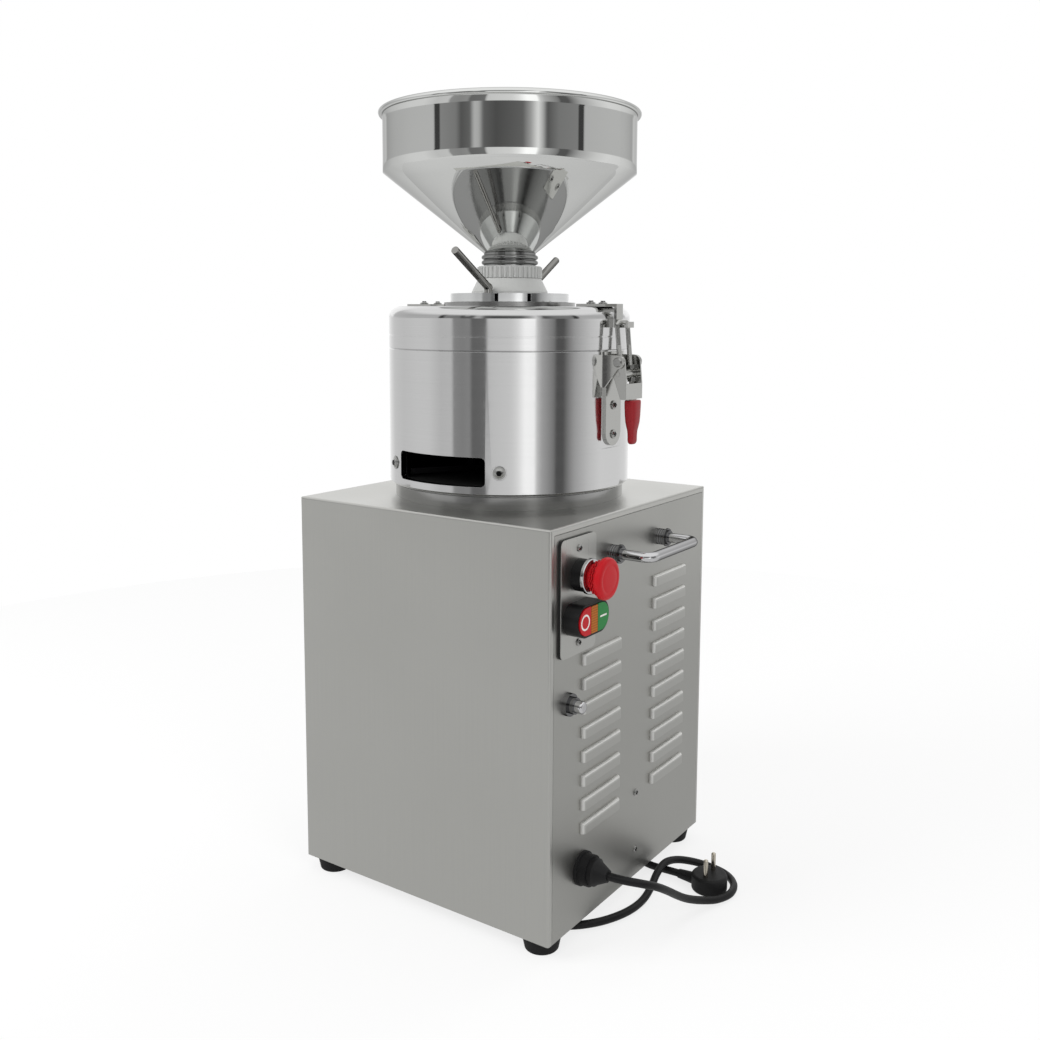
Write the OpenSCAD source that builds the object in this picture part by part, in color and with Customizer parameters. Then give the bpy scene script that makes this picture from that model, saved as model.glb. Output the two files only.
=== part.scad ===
// Colloid mill for nut paste: a vertical motor in a sheet-steel cabinet drives a grinding stone in
// the drum above it. Millimetres, +Z up, origin on the floor under the mill's axis. The discharge
// window faces -Y and the control panel faces +X.

/* [Cabinet] */
// Width of the cabinet along X
cab_w = 320; // [300:2:360]
// Depth of the cabinet along Y
cab_d = 320; // [300:2:360]
// Height of the cabinet walls
cab_h = 402; // [390:1:440]
// Thickness of the sheet steel
sheet = 1.5; // [1:0.1:2]
// Outer radius of the folds
fold_r = 2.5; // [2.2:0.1:4]
// Width of the shell's return fold around the side panel
fold_w = 6; // [4:0.5:8]

/* [Feet] */
// Height of the rubber feet
foot_h = 16; // [12:1:24]
// Radius of a foot at its top
foot_r = 20; // [16:0.5:22]
// Distance of each foot's centre from the walls
foot_inset = 22; // [22:1:34]
// Radius of the foot screws
foot_screw_r = 3; // [2:0.5:3.5]

/* [Side panel] */
// Width of one louvre
louvre_w = 72; // [56:1:76]
// Height of one louvre's hood
louvre_h = 11; // [9:0.5:14]
// How far a hood stands out
louvre_out = 5; // [4:0.5:7]
// Outer radius of a hood's shoulder
louvre_bend = 4; // [2.5:0.5:4]
// Plain strip between the top louvre of the front column and the switch plate
louvre_clear = 4.1; // [3:0.1:8]
// Distance of the front louvre column from the middle
louvre_front = 69; // [66:1:74]
// Distance of the back louvre column from the middle
louvre_back = 73; // [68:1:78]
// Height of the lowest slot above the wall's bottom edge
louvre_low = 91.8; // [88:0.2:96]
// Louvres in the column under the switches
louvres_front = 8; // [6:1:8]
// Louvres in the column under the handle
louvres_back = 10; // [8:1:10]

/* [Controls] */
// Width of the switch plate
plate_w = 62; // [60:1:70]
// Height of the switch plate
plate_h = 113; // [110:1:120]
// Corner radius of the switch plate
plate_r = 6; // [3:0.5:8]
// Thickness of the switch plate
plate_t = 3.2; // [1:0.1:4]
// Distance of the switches from the front wall
switch_in = 44; // [42:1:50]
// Distance of the switch plate's middle from the top
plate_down = 68.5; // [66:0.5:74]
// Radius of the mounting sleeve of both switches
sleeve_r = 11; // [10:0.25:12]
// Radius of the emergency stop's mushroom head
mushroom_r = 20; // [18:0.5:21]
// Travel of the emergency stop
estop_travel = 4; // [2:0.5:5]
// Width of the double push-button
button_w = 57; // [54:1:60]
// Height of the double push-button
button_h = 31; // [29:0.5:32]
// Travel of the push-buttons
button_travel = 3; // [1.5:0.5:3.5]
// Width of the pilot lens between the push-buttons
lens_w = 12; // [8:0.5:14]
// Distance of the reset button below the switch plate
reset_below = 47; // [40:1:51]
// Travel of the reset button
reset_travel = 2.5; // [1:0.5:3]

/* [Handle] */
// Distance between the handle's legs
handle_l = 100; // [90:1:110]
// Distance of the handle from the top
handle_down = 40; // [36:1:46]
// Radius of the handle's rod
handle_r = 5; // [4:0.25:6]
// Reach of the bar's middle from the panel
handle_out = 43.5; // [36:0.5:46]
// Radius of the handle's bends at the rod's middle
handle_bend = 10; // [8:0.5:15]

/* [Drum] */
// Height of the ring under the drum
ring_h = 15; // [12:1:20]
// Radius of the ring under the drum
ring_r = 124; // [116:1:128]
// Outer radius of the drum and its cover
drum_r = 130; // [129:0.5:134]
// Height of the drum
drum_h = 143; // [140:1:150]
// Thickness of the drum's wall
drum_wall = 9; // [7.5:0.5:11]
// Thickness of the drum's floor
drum_floor = 9; // [8:0.5:10]
// Width of the discharge window
window_w = 109; // [90:1:112]
// Height of the discharge window
window_h = 29.5; // [22:0.5:32]
// Corner radius of the discharge window
window_r = 5; // [2:0.5:7]

/* [Cover] */
// Height of the cover
cover_h = 44; // [42:0.5:50]
// Thickness of the cover's top
cover_top = 12; // [10:0.5:14]
// Radius of the cover's top edge
cover_edge = 12; // [8:0.5:14]
// Height of the cover's lip band
lip_h = 14; // [10:0.5:18]

/* [Latches] */
// Height of a latch's base plate
latch_h = 97; // [92:1:102]
// Thickness of the latch plates
latch_t = 2.5; // [2:0.1:3]
// Radius of the U-bolt's rod
bolt_r = 2.5; // [2:0.1:2.7]
// Half the distance between the U-bolt's legs
bolt_half = 10.5; // [10:0.25:12]
// Crank between a lever's pivot and its trunnion
crank = 12; // [11.8:0.1:12.4]
// Distance of the lever's pivot from the drum's wall
pivot_out = 16; // [15.6:0.1:16.6]
// Radius of the pivot rivets
rivet_r = 3; // [2.5:0.1:3.4]
// Length of the red grip
grip_l = 45; // [40:1:50]

/* [Adjuster] */
// Radius of the adjusting disc
disc_r = 64; // [58:1:66]
// Thickness of the adjusting disc
disc_t = 9; // [8.5:0.5:14]
// Radius of the flange under the adjusting disc
flange_r = 71; // [67:0.5:74]
// Thickness of the flange under the adjusting disc
flange_t = 4.6; // [2:0.1:6]
// Radius of the adjusting levers
lever_r = 4; // [3:0.25:5]
// Distance of the levers' feet from the axis
lever_foot = 47; // [46.5:0.5:49]
// Distance of the levers' tips from the axis
lever_tip = 114; // [100:1:116]
// Slope of the adjusting levers in degrees
lever_slope = 27.6; // [20:0.2:32]
// Height of the stator's travel
stator_travel = 1; // [0.5:0.1:1.5]

/* [Hopper] */
// Radius of the hopper's upper cylinder
hopper_r = 135; // [120:1:140]
// Height of the hopper's upper cylinder
hopper_cyl = 61; // [50:1:70]
// Height of the hopper's cone
hopper_cone = 83; // [76:1:95]
// Radius of the hopper's neck
neck_r = 28; // [27:0.25:28.5]
// Thickness of the hopper's sheet
hopper_t = 1.2; // [0.8:0.1:1.6]
// Radius of the rolled rim
rim_r = 2.8; // [2:0.1:3.4]
// Height of the white collar's cone
collar_h = 16; // [14:0.5:20]
// Radius of the ribbed union nut
nut_r = 35; // [34:0.25:38]
// Height of the union nut
nut_h = 13; // [12.5:0.5:15]

/* [Grinding set] */
// Radius of both grinding stones
stone_r = 50; // [44:0.5:52]
// Thickness of a grinding stone
stone_t = 26; // [22:0.5:28]
// Radius of the feed bore
throat_r = 22; // [20:0.5:23]
// Gap between the stones at the finest setting
stone_gap = 0.4; // [0.3:0.05:0.6]
// Radius of the drive shaft
shaft_r = 12; // [10:0.5:13]

/* [Motor] */
// Radius of the motor's housing without its ribs
motor_r = 78; // [70:1:82]
// Length of the motor's housing
motor_l = 190; // [170:1:200]
// Number of cooling ribs
motor_ribs = 24; // [16:1:30]

/* [Mains lead] */
// Radius of the lead
cord_r = 4; // [3.5:0.1:4.1]
// Radius of the plug's body
plug_r = 19; // [17:0.5:20]
// Height of the plug's body
plug_h = 18; // [16:0.5:22]

/* [Fits] */
// Radial clearance of a running or sliding fit
run_gap = 0.06; // [0.03:0.01:0.09]
// Clearance between pieces that move past each other
move_gap = 0.3; // [0.3:0.05:0.4]
// Radial clearance of a screw in its hole
screw_gap = 0.25; // [0.1:0.05:0.3]

/* [Hidden] */

$fn = 72;
// How far a cutting shape runs past the face that it cuts
over = 1;

// Cabinet
cab_z0 = foot_h;
cab_z1 = cab_z0 + cab_h;
panel_x = cab_w / 2;
panel_in = panel_x - sheet;
ledge_w = 14;
ledge_lap = 3;
panel_gap = 0.4;
base_fold = 14;
foot_x = cab_w / 2 - foot_inset;
foot_y = cab_d / 2 - foot_inset;
foot_taper = 3;
foot_round = 2;
screw_head_r = 2 * foot_screw_r;
screw_head_h = 1.2 * foot_screw_r;
foot_recess = foot_h / 2;
bracket_y = 7;
bracket_w = 24;
bracket_h = 120;
bracket_t = 3;
bracket_fold = 26;
panel_screw_r = 2;
panel_head_r = 3.6;
panel_head_h = 2.2;
panel_screw_tail = 2;
plate_screw_tail = 5;
panel_screw_up = 30;
panel_screw_pitch = 63;
panel_screw_z = [cab_z0 + panel_screw_up, cab_z0 + panel_screw_up + panel_screw_pitch];
top_hole_r = 62;

// Switches
switch_y = -cab_d / 2 + switch_in;
plate_z = cab_z1 - plate_down;
plate_x1 = panel_x + plate_t;
plate_screw_in = 11;
plate_screw_up = plate_h / 2 - plate_screw_in;
switch_half = 20;
estop_z = plate_z + switch_half;
button_z = plate_z - switch_half;
collar_r = 15.5;
collar_l = 11.3;
collar_x1 = plate_x1 + collar_l;
bezel_r = 17;
bezel_t = 3.5;
bezel_x1 = collar_x1 + bezel_t;
bezel_bore = 13.2;
head_neck_r = 12;
stem_r = 6;
stem_lap = 4;
stem_in = 15;
head_neck_x0 = bezel_x1 - 2;
head_flare_x0 = bezel_x1 + estop_travel + 1;
head_flare_x1 = head_flare_x0 + 7;
head_x1 = head_flare_x1 + 7;
head_edge = 2.5;
collar_well = estop_travel + 3;
sleeve_in = 20;
block_l = 34;
block_w = 30;
block_h = 28;
locknut_t = 5;
locknut_w = 4;
body_l = 16.3;
body_x1 = plate_x1 + body_l;
body_rim = 2;
well_x0 = body_x1 - button_travel - 5;
button_proud = 1.2;
button_x0 = well_x0 + button_travel + move_gap;
reset_y = switch_y - 12;
reset_z = plate_z - plate_h / 2 - reset_below;
reset_neck_r = 8;
reset_nut_r = 11;
reset_nut_t = 4;
reset_neck_l = 9;
reset_lap = 4;
reset_body = [34, 17, 30];
plunger_r = 6;
plunger_edge = 2.5;
plunger_out = reset_travel + 6.5;
plunger_in = 18;

// Louvres: the front column fills the wall between its lowest slot and the switch plate
louvre_room = plate_z - plate_h / 2 - louvre_clear - louvre_h - cab_z0 - louvre_low;
louvre_pitch = louvre_room / (louvres_front - 1);
bend_steps = 5;

// Handle
handle_z = cab_z1 - handle_down;
stud_r = handle_r - 2;
stud_l = 8;
stud_nut_t = 5;
ferrule_l = 13;
ferrule_t = 3.5;
ferrule_r = handle_r + ferrule_t;
ferrule_step = 1;
ferrule_nose = 3;
ferrule_groove = 0.6;
ferrule_pitch = 2.5;
handle_x1 = panel_x + handle_out;

// Lead
gland_in = 60;
gland_up = 55;
gland_y = -cab_d / 2 + gland_in;
gland_z = cab_z0 + gland_up;
gland_back = 12;
gland_nut_t = 5;
gland_room = 1;
gland_flange_r = 17;
gland_flange_t = 3;
gland_body_r = 15.5;
gland_body_l = 9;
gland_sleeve_r = 12;
gland_nut_l = 18;
gland_tip_r = 7;
gland_x1 = panel_x + gland_flange_t + gland_body_l;
// The lead's points from the gland's mouth to the plug's boot: across, along and above the resting lead
cord_rest = cord_r + 0.1;
cord_points = [
    [0, 0, 66.9], [16, 0, 66.9], [33, 3, 66.2], [47, 13, 62.7], [55, 29, 54.9], [57, 49, 42.4],
    [57, 69, 28.9], [59, 89, 16.4], [65, 111, 6.4], [74, 131, 1.1], [79.5, 151, 0], [75, 170.5, 0],
    [60.5, 185, 0], [41, 190, 0.5], [21.5, 185, 3.4], [7, 170.5, 7.9], [2, 151, 10.9], [3.5, 130, 8.4],
    [7.5, 109, 3.4], [10, 88, 0.5], [9, 66, 0], [3, 44, 0], [-8, 23, 0], [-24, 5, 0], [-45, -8, 0],
    [-72, -16, 0], [-112, -21, 0], [-157, -23, 0], [-202, -19, 0], [-244, -3, 0], [-276, 28, 0],
    [-290, 68, 0], [-286, 112, 0], [-264, 152, 0], [-228, 184, 0], [-180, 200, 0], [-128, 198, 0],
    [-82, 182, 0], [-47, 165, 0], [-22, 157.5, 0], [-8, 155.5, 0.7], [6, 154, 2.2], [18, 154, 2.6]
];
cord_drop = (gland_z - cord_rest) / cord_points[0][2];
cord_route = [
    for (p = cord_points)
        [gland_x1 + p[0], gland_y + p[1], cord_rest + cord_drop * p[2]]
];
cord_end = cord_route[len(cord_route) - 1];
cord_sides = 8;
plug_reach = 36;
plug_pos = [cord_end[0] + plug_reach, cord_end[1], 0];
plug_edge = 3;
plug_boot_r0 = 4.8;
plug_boot_r1 = 6.5;
plug_pin_r = 2.4;
plug_pin_l = 19;
plug_pin_half = 9.5;
plug_pin_in = 8;

// Drum and cover
ring_z0 = cab_z1;
drum_z0 = ring_z0 + ring_h;
drum_z1 = drum_z0 + drum_h;
drum_in = drum_r - drum_wall;
chamber_z = drum_z0 + drum_floor;
hub_r = 30;
hub_h = 26;
window_z = chamber_z + window_h / 2;
window_screw_deg = 31;
window_screw_r = 4;
window_head_r = 6.5;
window_head_h = 4;
spot_depth = 0.6;
cover_z1 = drum_z1 + cover_h;
spigot_h = 8;
spigot_t = 7;
seal_r = 1.8;
cover_in = drum_in - spigot_t;
cover_bore = 44;
line_w = 1.4;
seam = 0.9;
drum_edge = 2;
ring_groove = 2;
floor_step = 2;

// Latches: the pivot, trunnion and hook in the XZ plane of the right-hand latch
seat_cut = 1.5;
seat_x = drum_r - seat_cut;
latch_z1 = drum_z1 - 1;
latch_z0 = latch_z1 - latch_h;
latch_w = 30;
pivot = [drum_r + pivot_out, drum_z1 - 11.4];
trunnion = [pivot[0] - 1, pivot[1] - crank];
cheek_in = bolt_half + bolt_r + 1.8;
cheek_t = 2;
ear_in = cheek_in + cheek_t + move_gap;
ear_t = 2;
pivot_eye = 7;
trunnion_r = 4.5;
trunnion_pin_r = 2.5;
hook_out = 4;
hook_t = 3;
hook_x1 = drum_r + hook_out + hook_t;
hook = [hook_x1 + bolt_r + 0.5, drum_z1 + 28.9];
hook_floor = hook[1] - bolt_r - move_gap;
hook_room = 10.5;
hook_lip = 3;
hook_w = 2 * (bolt_half - bolt_r) - 3.4;
keeper_w = 36;
keeper_t = 3;
keeper_in = 34;
keeper_screw_in = 20;
keeper_screw_half = 12;
keeper_screw_r = 2.5;
keeper_screw_l = 8;
keeper_head_r = 4.6;
keeper_head_h = 3.2;
lip_t = 2.5;
ear_down = 26;
bolt_vec = hook - trunnion;
bolt_len = norm(bolt_vec);
bolt_lean = atan2(-bolt_vec[0], bolt_vec[1]);
bolt_bend = bolt_r + 1.5;
bolt_tail = 13;
bolt_nut_af = 8;
bolt_nut_t = 4;
web_x = pivot[0] + 6.5;
web_z1 = trunnion[1] - 9.5;
web_z0 = web_z1 - 16;
strap_t = 3;
strap_w = 10;
grip_z1 = web_z0 - 1;
grip_z0 = grip_z1 - grip_l;
grip_w = 20;
grip_t = 13;
grip_wall = 1.8;
strap_up = 4;
latch_screw_r = 2.5;
latch_head_r = 4.6;
latch_head_h = 2.8;
latch_screw_short = 2;
latch_screw_up = 12;
latch_screw_pitch = 30;
latch_screw_z = [latch_z0 + latch_screw_up, latch_z0 + latch_screw_up + latch_screw_pitch];

// Adjuster and hopper
flange_z0 = cover_z1;
disc_z0 = flange_z0 + flange_t + move_gap;
disc_z1 = disc_z0 + disc_t;
spigot_r = cover_bore - run_gap;
spigot_l = 16;
sleeve_out = 38;
lever_deg = 7;
lever_knuckle = lever_r + 0.5;
lever_bend_z = disc_z1 + 6;
lever_in = 8;
notch_deg = [23, 53.6];
notch_w = 4;
notch_d = 6;
collar_z0 = disc_z1 + move_gap;
collar_z1 = collar_z0 + collar_h;
collar_r0 = sleeve_out + 3;
collar_r1 = nut_r - 1;
neck_flange_t = 2.5;
neck_spigot_r = nut_r - 5;
neck_z0 = collar_z1 + 4.5;
nut_z1 = collar_z1 + nut_h;
nut_ribs = 40;
nut_rib_r = 1.6;
neck_l = 14;
cone_z0 = nut_z1 + neck_l;
cone_z1 = cone_z0 + hopper_cone;
hopper_z1 = cone_z1 + hopper_cyl;
bead_r = 2.5;
bead_up = 4;
bead_pitch = 5.5;

// Grinding set, counted up from the chamber's floor
hub_z0 = chamber_z + hub_h + 2;
hub_t = 12;
rotor_z0 = hub_z0 + hub_t + 4;
rotor_z1 = rotor_z0 + stone_t;
stator_z0 = rotor_z1 + stone_gap;
stator_z1 = stator_z0 + stone_t;
holder_t = 10;
holder_r = stone_r + 12;
pin_r = 4;
pin_at = stone_r + 5;
pin_l = cover_z1 - cover_top - stator_z1 + 2;
stone_cone = 8;
furrows = 8;
furrow_w = 3;
furrow_d = 1.5;
blade_t = 4;
blade_h = 6;
blade_tip = drum_in - 6;
shaft_nut_r = 14;
shaft_nut_h = 9;
seal_out = 20;
seal_t = 9;

// Motor, hung under the cabinet's top
mount_t = 12;
mount_z1 = cab_z1 - sheet;
mount_z0 = mount_z1 - mount_t;
motor_z0 = mount_z0 - motor_l;
bearing_r = 26;
bearing_t = 15;
bearing_wall = 8;
core_r = 48;
core_l = 110;
core_up = 40;
core_z0 = motor_z0 + core_up;
rib_out = 6;
rib_t = 2.4;
cowl_l = 46;
cowl_t = 1.5;
cowl_lap = 8;
motor_wall = 6;
fan_r = motor_r - 10;
fan_down = 36;
fan_z0 = motor_z0 - fan_down;
fan_h = 24;
fan_t = 2;
fan_hub = 8;
fan_blades = 7;
motor_bolt_r = 4;
motor_bolt_at = motor_r + rib_out + 2 * motor_bolt_r + 1;
mount_r = motor_bolt_at + 2 * motor_bolt_r + 1;
motor_bolt_l = mount_t + sheet + ring_h + drum_floor - 3;

// Lays a shape drawn upwards along +X instead
module along_x(x, y, z) {
    translate([x, y, z]) rotate([0, 90, 0]) children();
}

// Lays a shape drawn upwards along +Y instead, starting at y
module along_y(x, y, z) {
    translate([x, y, z]) rotate([-90, 0, 0]) children();
}

// Extrudes an outline drawn in X and Z along Y, evenly about the middle
module slab_y(w) {
    rotate([90, 0, 0]) linear_extrude(w, center = true) children();
}

// Extrudes an outline drawn in Y and Z along +X from x0
module slab_x(x0, t) {
    translate([x0, 0, 0]) rotate([90, 0, 90]) linear_extrude(t) children();
}

// Repeats a shape at the four corners of a rectangle
module on_corners(x, y) {
    for (sx = [-1, 1], sy = [-1, 1])
        translate([sx * x, sy * y, 0]) children();
}

// Stands a shape on a circle: the angle runs from -Y towards +X
module on_circle(deg, r, z) {
    rotate([0, 0, deg]) translate([0, -r, z]) children();
}

// Shows a shape drawn for the right-hand latch on the other side
module on_side(side) {
    mirror([side < 0 ? 1 : 0, 0, 0]) children();
}

// Flat ring
module ring(outer, inner, h) {
    difference() {
        cylinder(r = outer, h = h);
        translate([0, 0, -over]) cylinder(r = inner, h = h + 2 * over);
    }
}

// Rectangle with round corners
module round_rect(w, h, r) {
    square([w - 2 * r, h], center = true);
    square([w, h - 2 * r], center = true);
    for (sx = [-1, 1], sy = [-1, 1])
        translate([sx * (w / 2 - r), sy * (h / 2 - r)]) circle(r);
}

// Domed screw, head up, shank down from z = 0
module screw(r, l, head_r, head_h) {
    rotate_extrude() {
        translate([0, -l]) square([r, l + head_h / 2]);
        square([head_r, head_h * 0.45]);
        intersection() {
            translate([0, head_h - head_r]) circle(head_r);
            square([head_r, head_h]);
        }
    }
}

// Sheet steel box without its base and with rounded folds
module fold_box(w, d, z0, z1, r) {
    h = z1 - z0;
    intersection() {
        translate([0, 0, z0]) linear_extrude(h) round_rect(w, d, r);
        slab_y(2 * d) fold_side(w, z0, z1, r);
        translate([-w, 0, 0]) slab_x(0, 2 * w) fold_side(d, z0, z1, r);
    }
}

// Side view of the box: square below, rounded above
module fold_side(w, z0, z1, r) {
    translate([-w / 2, z0]) square([w, z1 - z0 - r]);
    translate([-w / 2 + r, z0]) square([w - 2 * r, z1 - z0]);
    for (s = [-1, 1])
        translate([s * (w / 2 - r), z1 - r]) circle(r);
}

// Front, left and back walls, top and the frame around the side panel
module cabinet_shell() {
    inner_w = cab_w - 2 * sheet;
    inner_d = cab_d - 2 * sheet;
    color("#a9a8a3") difference() {
        union() {
            difference() {
                fold_box(cab_w, cab_d, cab_z0, cab_z1, fold_r);
                fold_box(inner_w, inner_d, cab_z0 - over, cab_z1 - sheet, fold_r - sheet);
                translate([panel_in - over, -cab_d / 2 + fold_w, cab_z0 - over])
                    cube([sheet + 2 * over, cab_d - 2 * fold_w, cab_h - fold_w + over]);
            }
            panel_ledges();
        }
        translate([0, 0, cab_z1 - sheet - over]) cylinder(r = top_hole_r, h = sheet + 2 * over);
        motor_bolt_holes(cab_z1 - sheet - over, sheet + 2 * over);
    }
}

// Stepped strips that the side panel lies against
module panel_ledges() {
    side = cab_d / 2 - fold_w + ledge_lap;
    top = cab_h - fold_w + ledge_lap;
    weld = 1.5 * sheet;
    translate([panel_in - sheet, 0, cab_z0]) {
        for (s = [-1, 1]) {
            translate([0, s * side - (s < 0 ? 0 : ledge_w), 0]) cube([sheet, ledge_w, top]);
            translate([0, s * side - (s < 0 ? 0 : ledge_lap), 0]) cube([weld, ledge_lap, top]);
        }
        translate([0, -side, top - ledge_w]) cube([sheet, 2 * side, ledge_w]);
        translate([0, -side, top - ledge_lap]) cube([weld, 2 * side, ledge_lap]);
    }
}

// Quarter round about a centre, starting at an angle
function bend(centre, r, from) = [
    for (i = [0:bend_steps])
        let (a = from + 90 * i / bend_steps)
        centre + r * [cos(a), sin(a)]
];

// Outer form of one louvre, or the hollow under it, standing on its slot's lower edge
module louvre_form(inset, low) {
    out = louvre_out - inset;
    top = louvre_h - inset;
    half = louvre_w / 2 - inset;
    r = louvre_bend - inset;
    back = -sheet - low;
    intersection() {
        slab_y(louvre_w + over)
            polygon(concat([[back, top], [back, -low], [out, -low]], bend([out - r, top - r], r, 0)));
        translate([0, 0, -low - over]) linear_extrude(top + low + 2 * over)
            polygon(concat(
                [[back, half], [back, -half]],
                bend([out - r, r - half], r, -90),
                bend([out - r, half - r], r, 0)
            ));
    }
}

// Repeats a shape at every louvre
module at_louvres() {
    for (column = [[-louvre_front, louvres_front], [louvre_back, louvres_back]], i = [0:1:column[1] - 1])
        translate([panel_x, column[0], cab_z0 + louvre_low + i * louvre_pitch]) children();
}

// Louvred panel with the switches, the handle and the lead's gland
module side_panel() {
    panel_w = cab_d - 2 * fold_w - 2 * panel_gap;
    panel_h = cab_h - fold_w - panel_gap;
    color("#9b9a95") difference() {
        union() {
            translate([panel_in, -panel_w / 2, cab_z0]) cube([sheet, panel_w, panel_h]);
            at_louvres() louvre_form(0, 0);
        }
        at_louvres() louvre_form(sheet, over);
        for (z = [estop_z, button_z])
            along_x(panel_in - over, switch_y, z) cylinder(r = sleeve_r + screw_gap, h = sheet + 2 * over);
        along_x(panel_in - over, reset_y, reset_z)
            cylinder(r = reset_neck_r + screw_gap, h = sheet + 2 * over);
        along_x(panel_in - over, gland_y, gland_z)
            cylinder(r = gland_sleeve_r + screw_gap, h = sheet + 2 * over);
        for (s = [-1, 1])
            along_x(panel_in - over, s * handle_l / 2, handle_z)
                cylinder(r = stud_r + screw_gap, h = sheet + 2 * over);
        at_panel_screws() translate([0, 0, -panel_x + panel_in - over])
            cylinder(r = panel_screw_r + screw_gap, h = sheet + 2 * over);
    }
}

// Repeats a shape at the screws in the panel and in the switch plate, from the panel's face
module at_panel_screws() {
    for (z = panel_screw_z)
        along_x(panel_x, bracket_y, z) children();
    for (s = [-1, 1])
        along_x(panel_x, switch_y, plate_z + s * plate_screw_up) children();
}

// Bottom tray with upturned edges
module base_plate() {
    w = cab_w - 4 * sheet - 2 * panel_gap;
    d = cab_d - 2 * sheet - 2 * panel_gap;
    color("#8d8d89") difference() {
        translate([-w / 2, -d / 2, cab_z0]) cube([w, d, base_fold]);
        translate([-w / 2 + sheet, -d / 2 + sheet, cab_z0 + sheet])
            cube([w - 2 * sheet, d - 2 * sheet, base_fold]);
        on_corners(foot_x, foot_y) translate([0, 0, cab_z0 - over])
            cylinder(r = foot_screw_r + screw_gap, h = sheet + 2 * over);
    }
}

// Four rubber feet with a recess for the screw
module feet() {
    color("#1b1b1b") on_corners(foot_x, foot_y) rotate_extrude() difference() {
        union() {
            polygon([[0, foot_round], [foot_r - foot_taper, foot_round], [foot_r, foot_h], [0, foot_h]]);
            square([foot_r - foot_taper - foot_round, foot_round]);
            translate([foot_r - foot_taper - foot_round, foot_round]) circle(foot_round);
        }
        translate([-over, -over]) square([screw_head_r + 1 + over, foot_recess + over]);
        translate([-over, 0]) square([foot_screw_r + screw_gap + over, foot_h + over]);
        translate([-foot_r, -foot_h]) square([foot_r, 3 * foot_h]);
    }
}

// Screws that hold the feet, each with its nut on the base plate
module foot_screws() {
    nut_t = 1.6 * foot_screw_r;
    plate_z1 = cab_z0 + sheet;
    color("#b9b9b6") on_corners(foot_x, foot_y) {
        translate([0, 0, foot_recess]) rotate([180, 0, 0])
            screw(foot_screw_r, plate_z1 + nut_t + 3 - foot_recess, screw_head_r, screw_head_h);
        translate([0, 0, plate_z1]) difference() {
            cylinder(r = 1.9 * foot_screw_r, h = nut_t, $fn = 6);
            translate([0, 0, -over]) cylinder(r = foot_screw_r + run_gap, h = nut_t + 2 * over);
        }
    }
}

// Upright strap behind the panel, with a foot on the base plate
module panel_bracket() {
    color("#9c9c98") difference() {
        union() {
            translate([panel_in - bracket_t, bracket_y - bracket_w / 2, cab_z0 + base_fold])
                cube([bracket_t, bracket_w, bracket_h - base_fold]);
            translate([panel_in - bracket_fold, bracket_y - bracket_w / 2, cab_z0 + base_fold])
                cube([bracket_fold, bracket_w, bracket_t]);
            translate([panel_in - bracket_fold, bracket_y - bracket_w / 2, cab_z0 + sheet])
                cube([bracket_t, bracket_w, base_fold]);
        }
        for (z = panel_screw_z)
            along_x(panel_in - bracket_t - over, bracket_y, z)
                cylinder(r = panel_screw_r + run_gap, h = bracket_t + 2 * over);
    }
}

// Small screws in the panel and in the switch plate
module panel_screws() {
    color("#b5b5b2") {
        for (z = panel_screw_z)
            along_x(panel_x, bracket_y, z)
                screw(panel_screw_r, sheet + bracket_t + panel_screw_tail, panel_head_r, panel_head_h);
        for (s = [-1, 1])
            along_x(plate_x1, switch_y, plate_z + s * plate_screw_up)
                screw(panel_screw_r, plate_t + sheet + plate_screw_tail, panel_head_r, panel_head_h);
    }
}

// Raised plate under both switches
module control_plate() {
    color("#b3b2ad") difference() {
        slab_x(panel_x, plate_t) translate([switch_y, plate_z]) round_rect(plate_w, plate_h, plate_r);
        for (z = [estop_z, button_z])
            along_x(panel_x - over, switch_y, z) cylinder(r = sleeve_r + screw_gap, h = plate_t + 2 * over);
        for (s = [-1, 1])
            along_x(panel_x - over, switch_y, plate_z + s * plate_screw_up)
                cylinder(r = panel_screw_r + screw_gap, h = plate_t + 2 * over);
    }
}

// Black collar of the emergency stop with its mounting sleeve
module estop_housing() {
    sleeve_x0 = panel_in - sleeve_in;
    color("#202022") along_x(sleeve_x0, switch_y, estop_z) difference() {
        union() {
            cylinder(r = sleeve_r, h = collar_x1 - sleeve_x0);
            translate([0, 0, plate_x1 - sleeve_x0]) cylinder(r = collar_r, h = collar_l);
        }
        translate([0, 0, -over]) cylinder(r = stem_r + run_gap, h = collar_x1 - sleeve_x0 + 2 * over);
        translate([0, 0, collar_x1 - sleeve_x0 - collar_well])
            cylinder(r = bezel_bore, h = collar_well + over);
    }
}

// Chrome bezel of the emergency stop
module estop_ring() {
    color("#d8d8d6") along_x(collar_x1, switch_y, estop_z) rotate_extrude() {
        translate([bezel_bore, 0]) square([bezel_r - bezel_bore - 1, bezel_t]);
        translate([bezel_bore, 0]) square([bezel_r - bezel_bore, bezel_t - 1]);
        translate([bezel_r - 1, bezel_t - 1]) circle(1);
    }
}

// Plunger that the emergency stop's head turns on
module estop_stem() {
    stem_x0 = panel_in - stem_in;
    color("#c9c9c4") along_x(stem_x0, switch_y, estop_z) {
        cylinder(r = stem_r, h = head_neck_x0 + stem_lap - stem_x0);
        cylinder(r = stem_r - 2, h = head_flare_x1 - stem_x0);
    }
}

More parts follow.
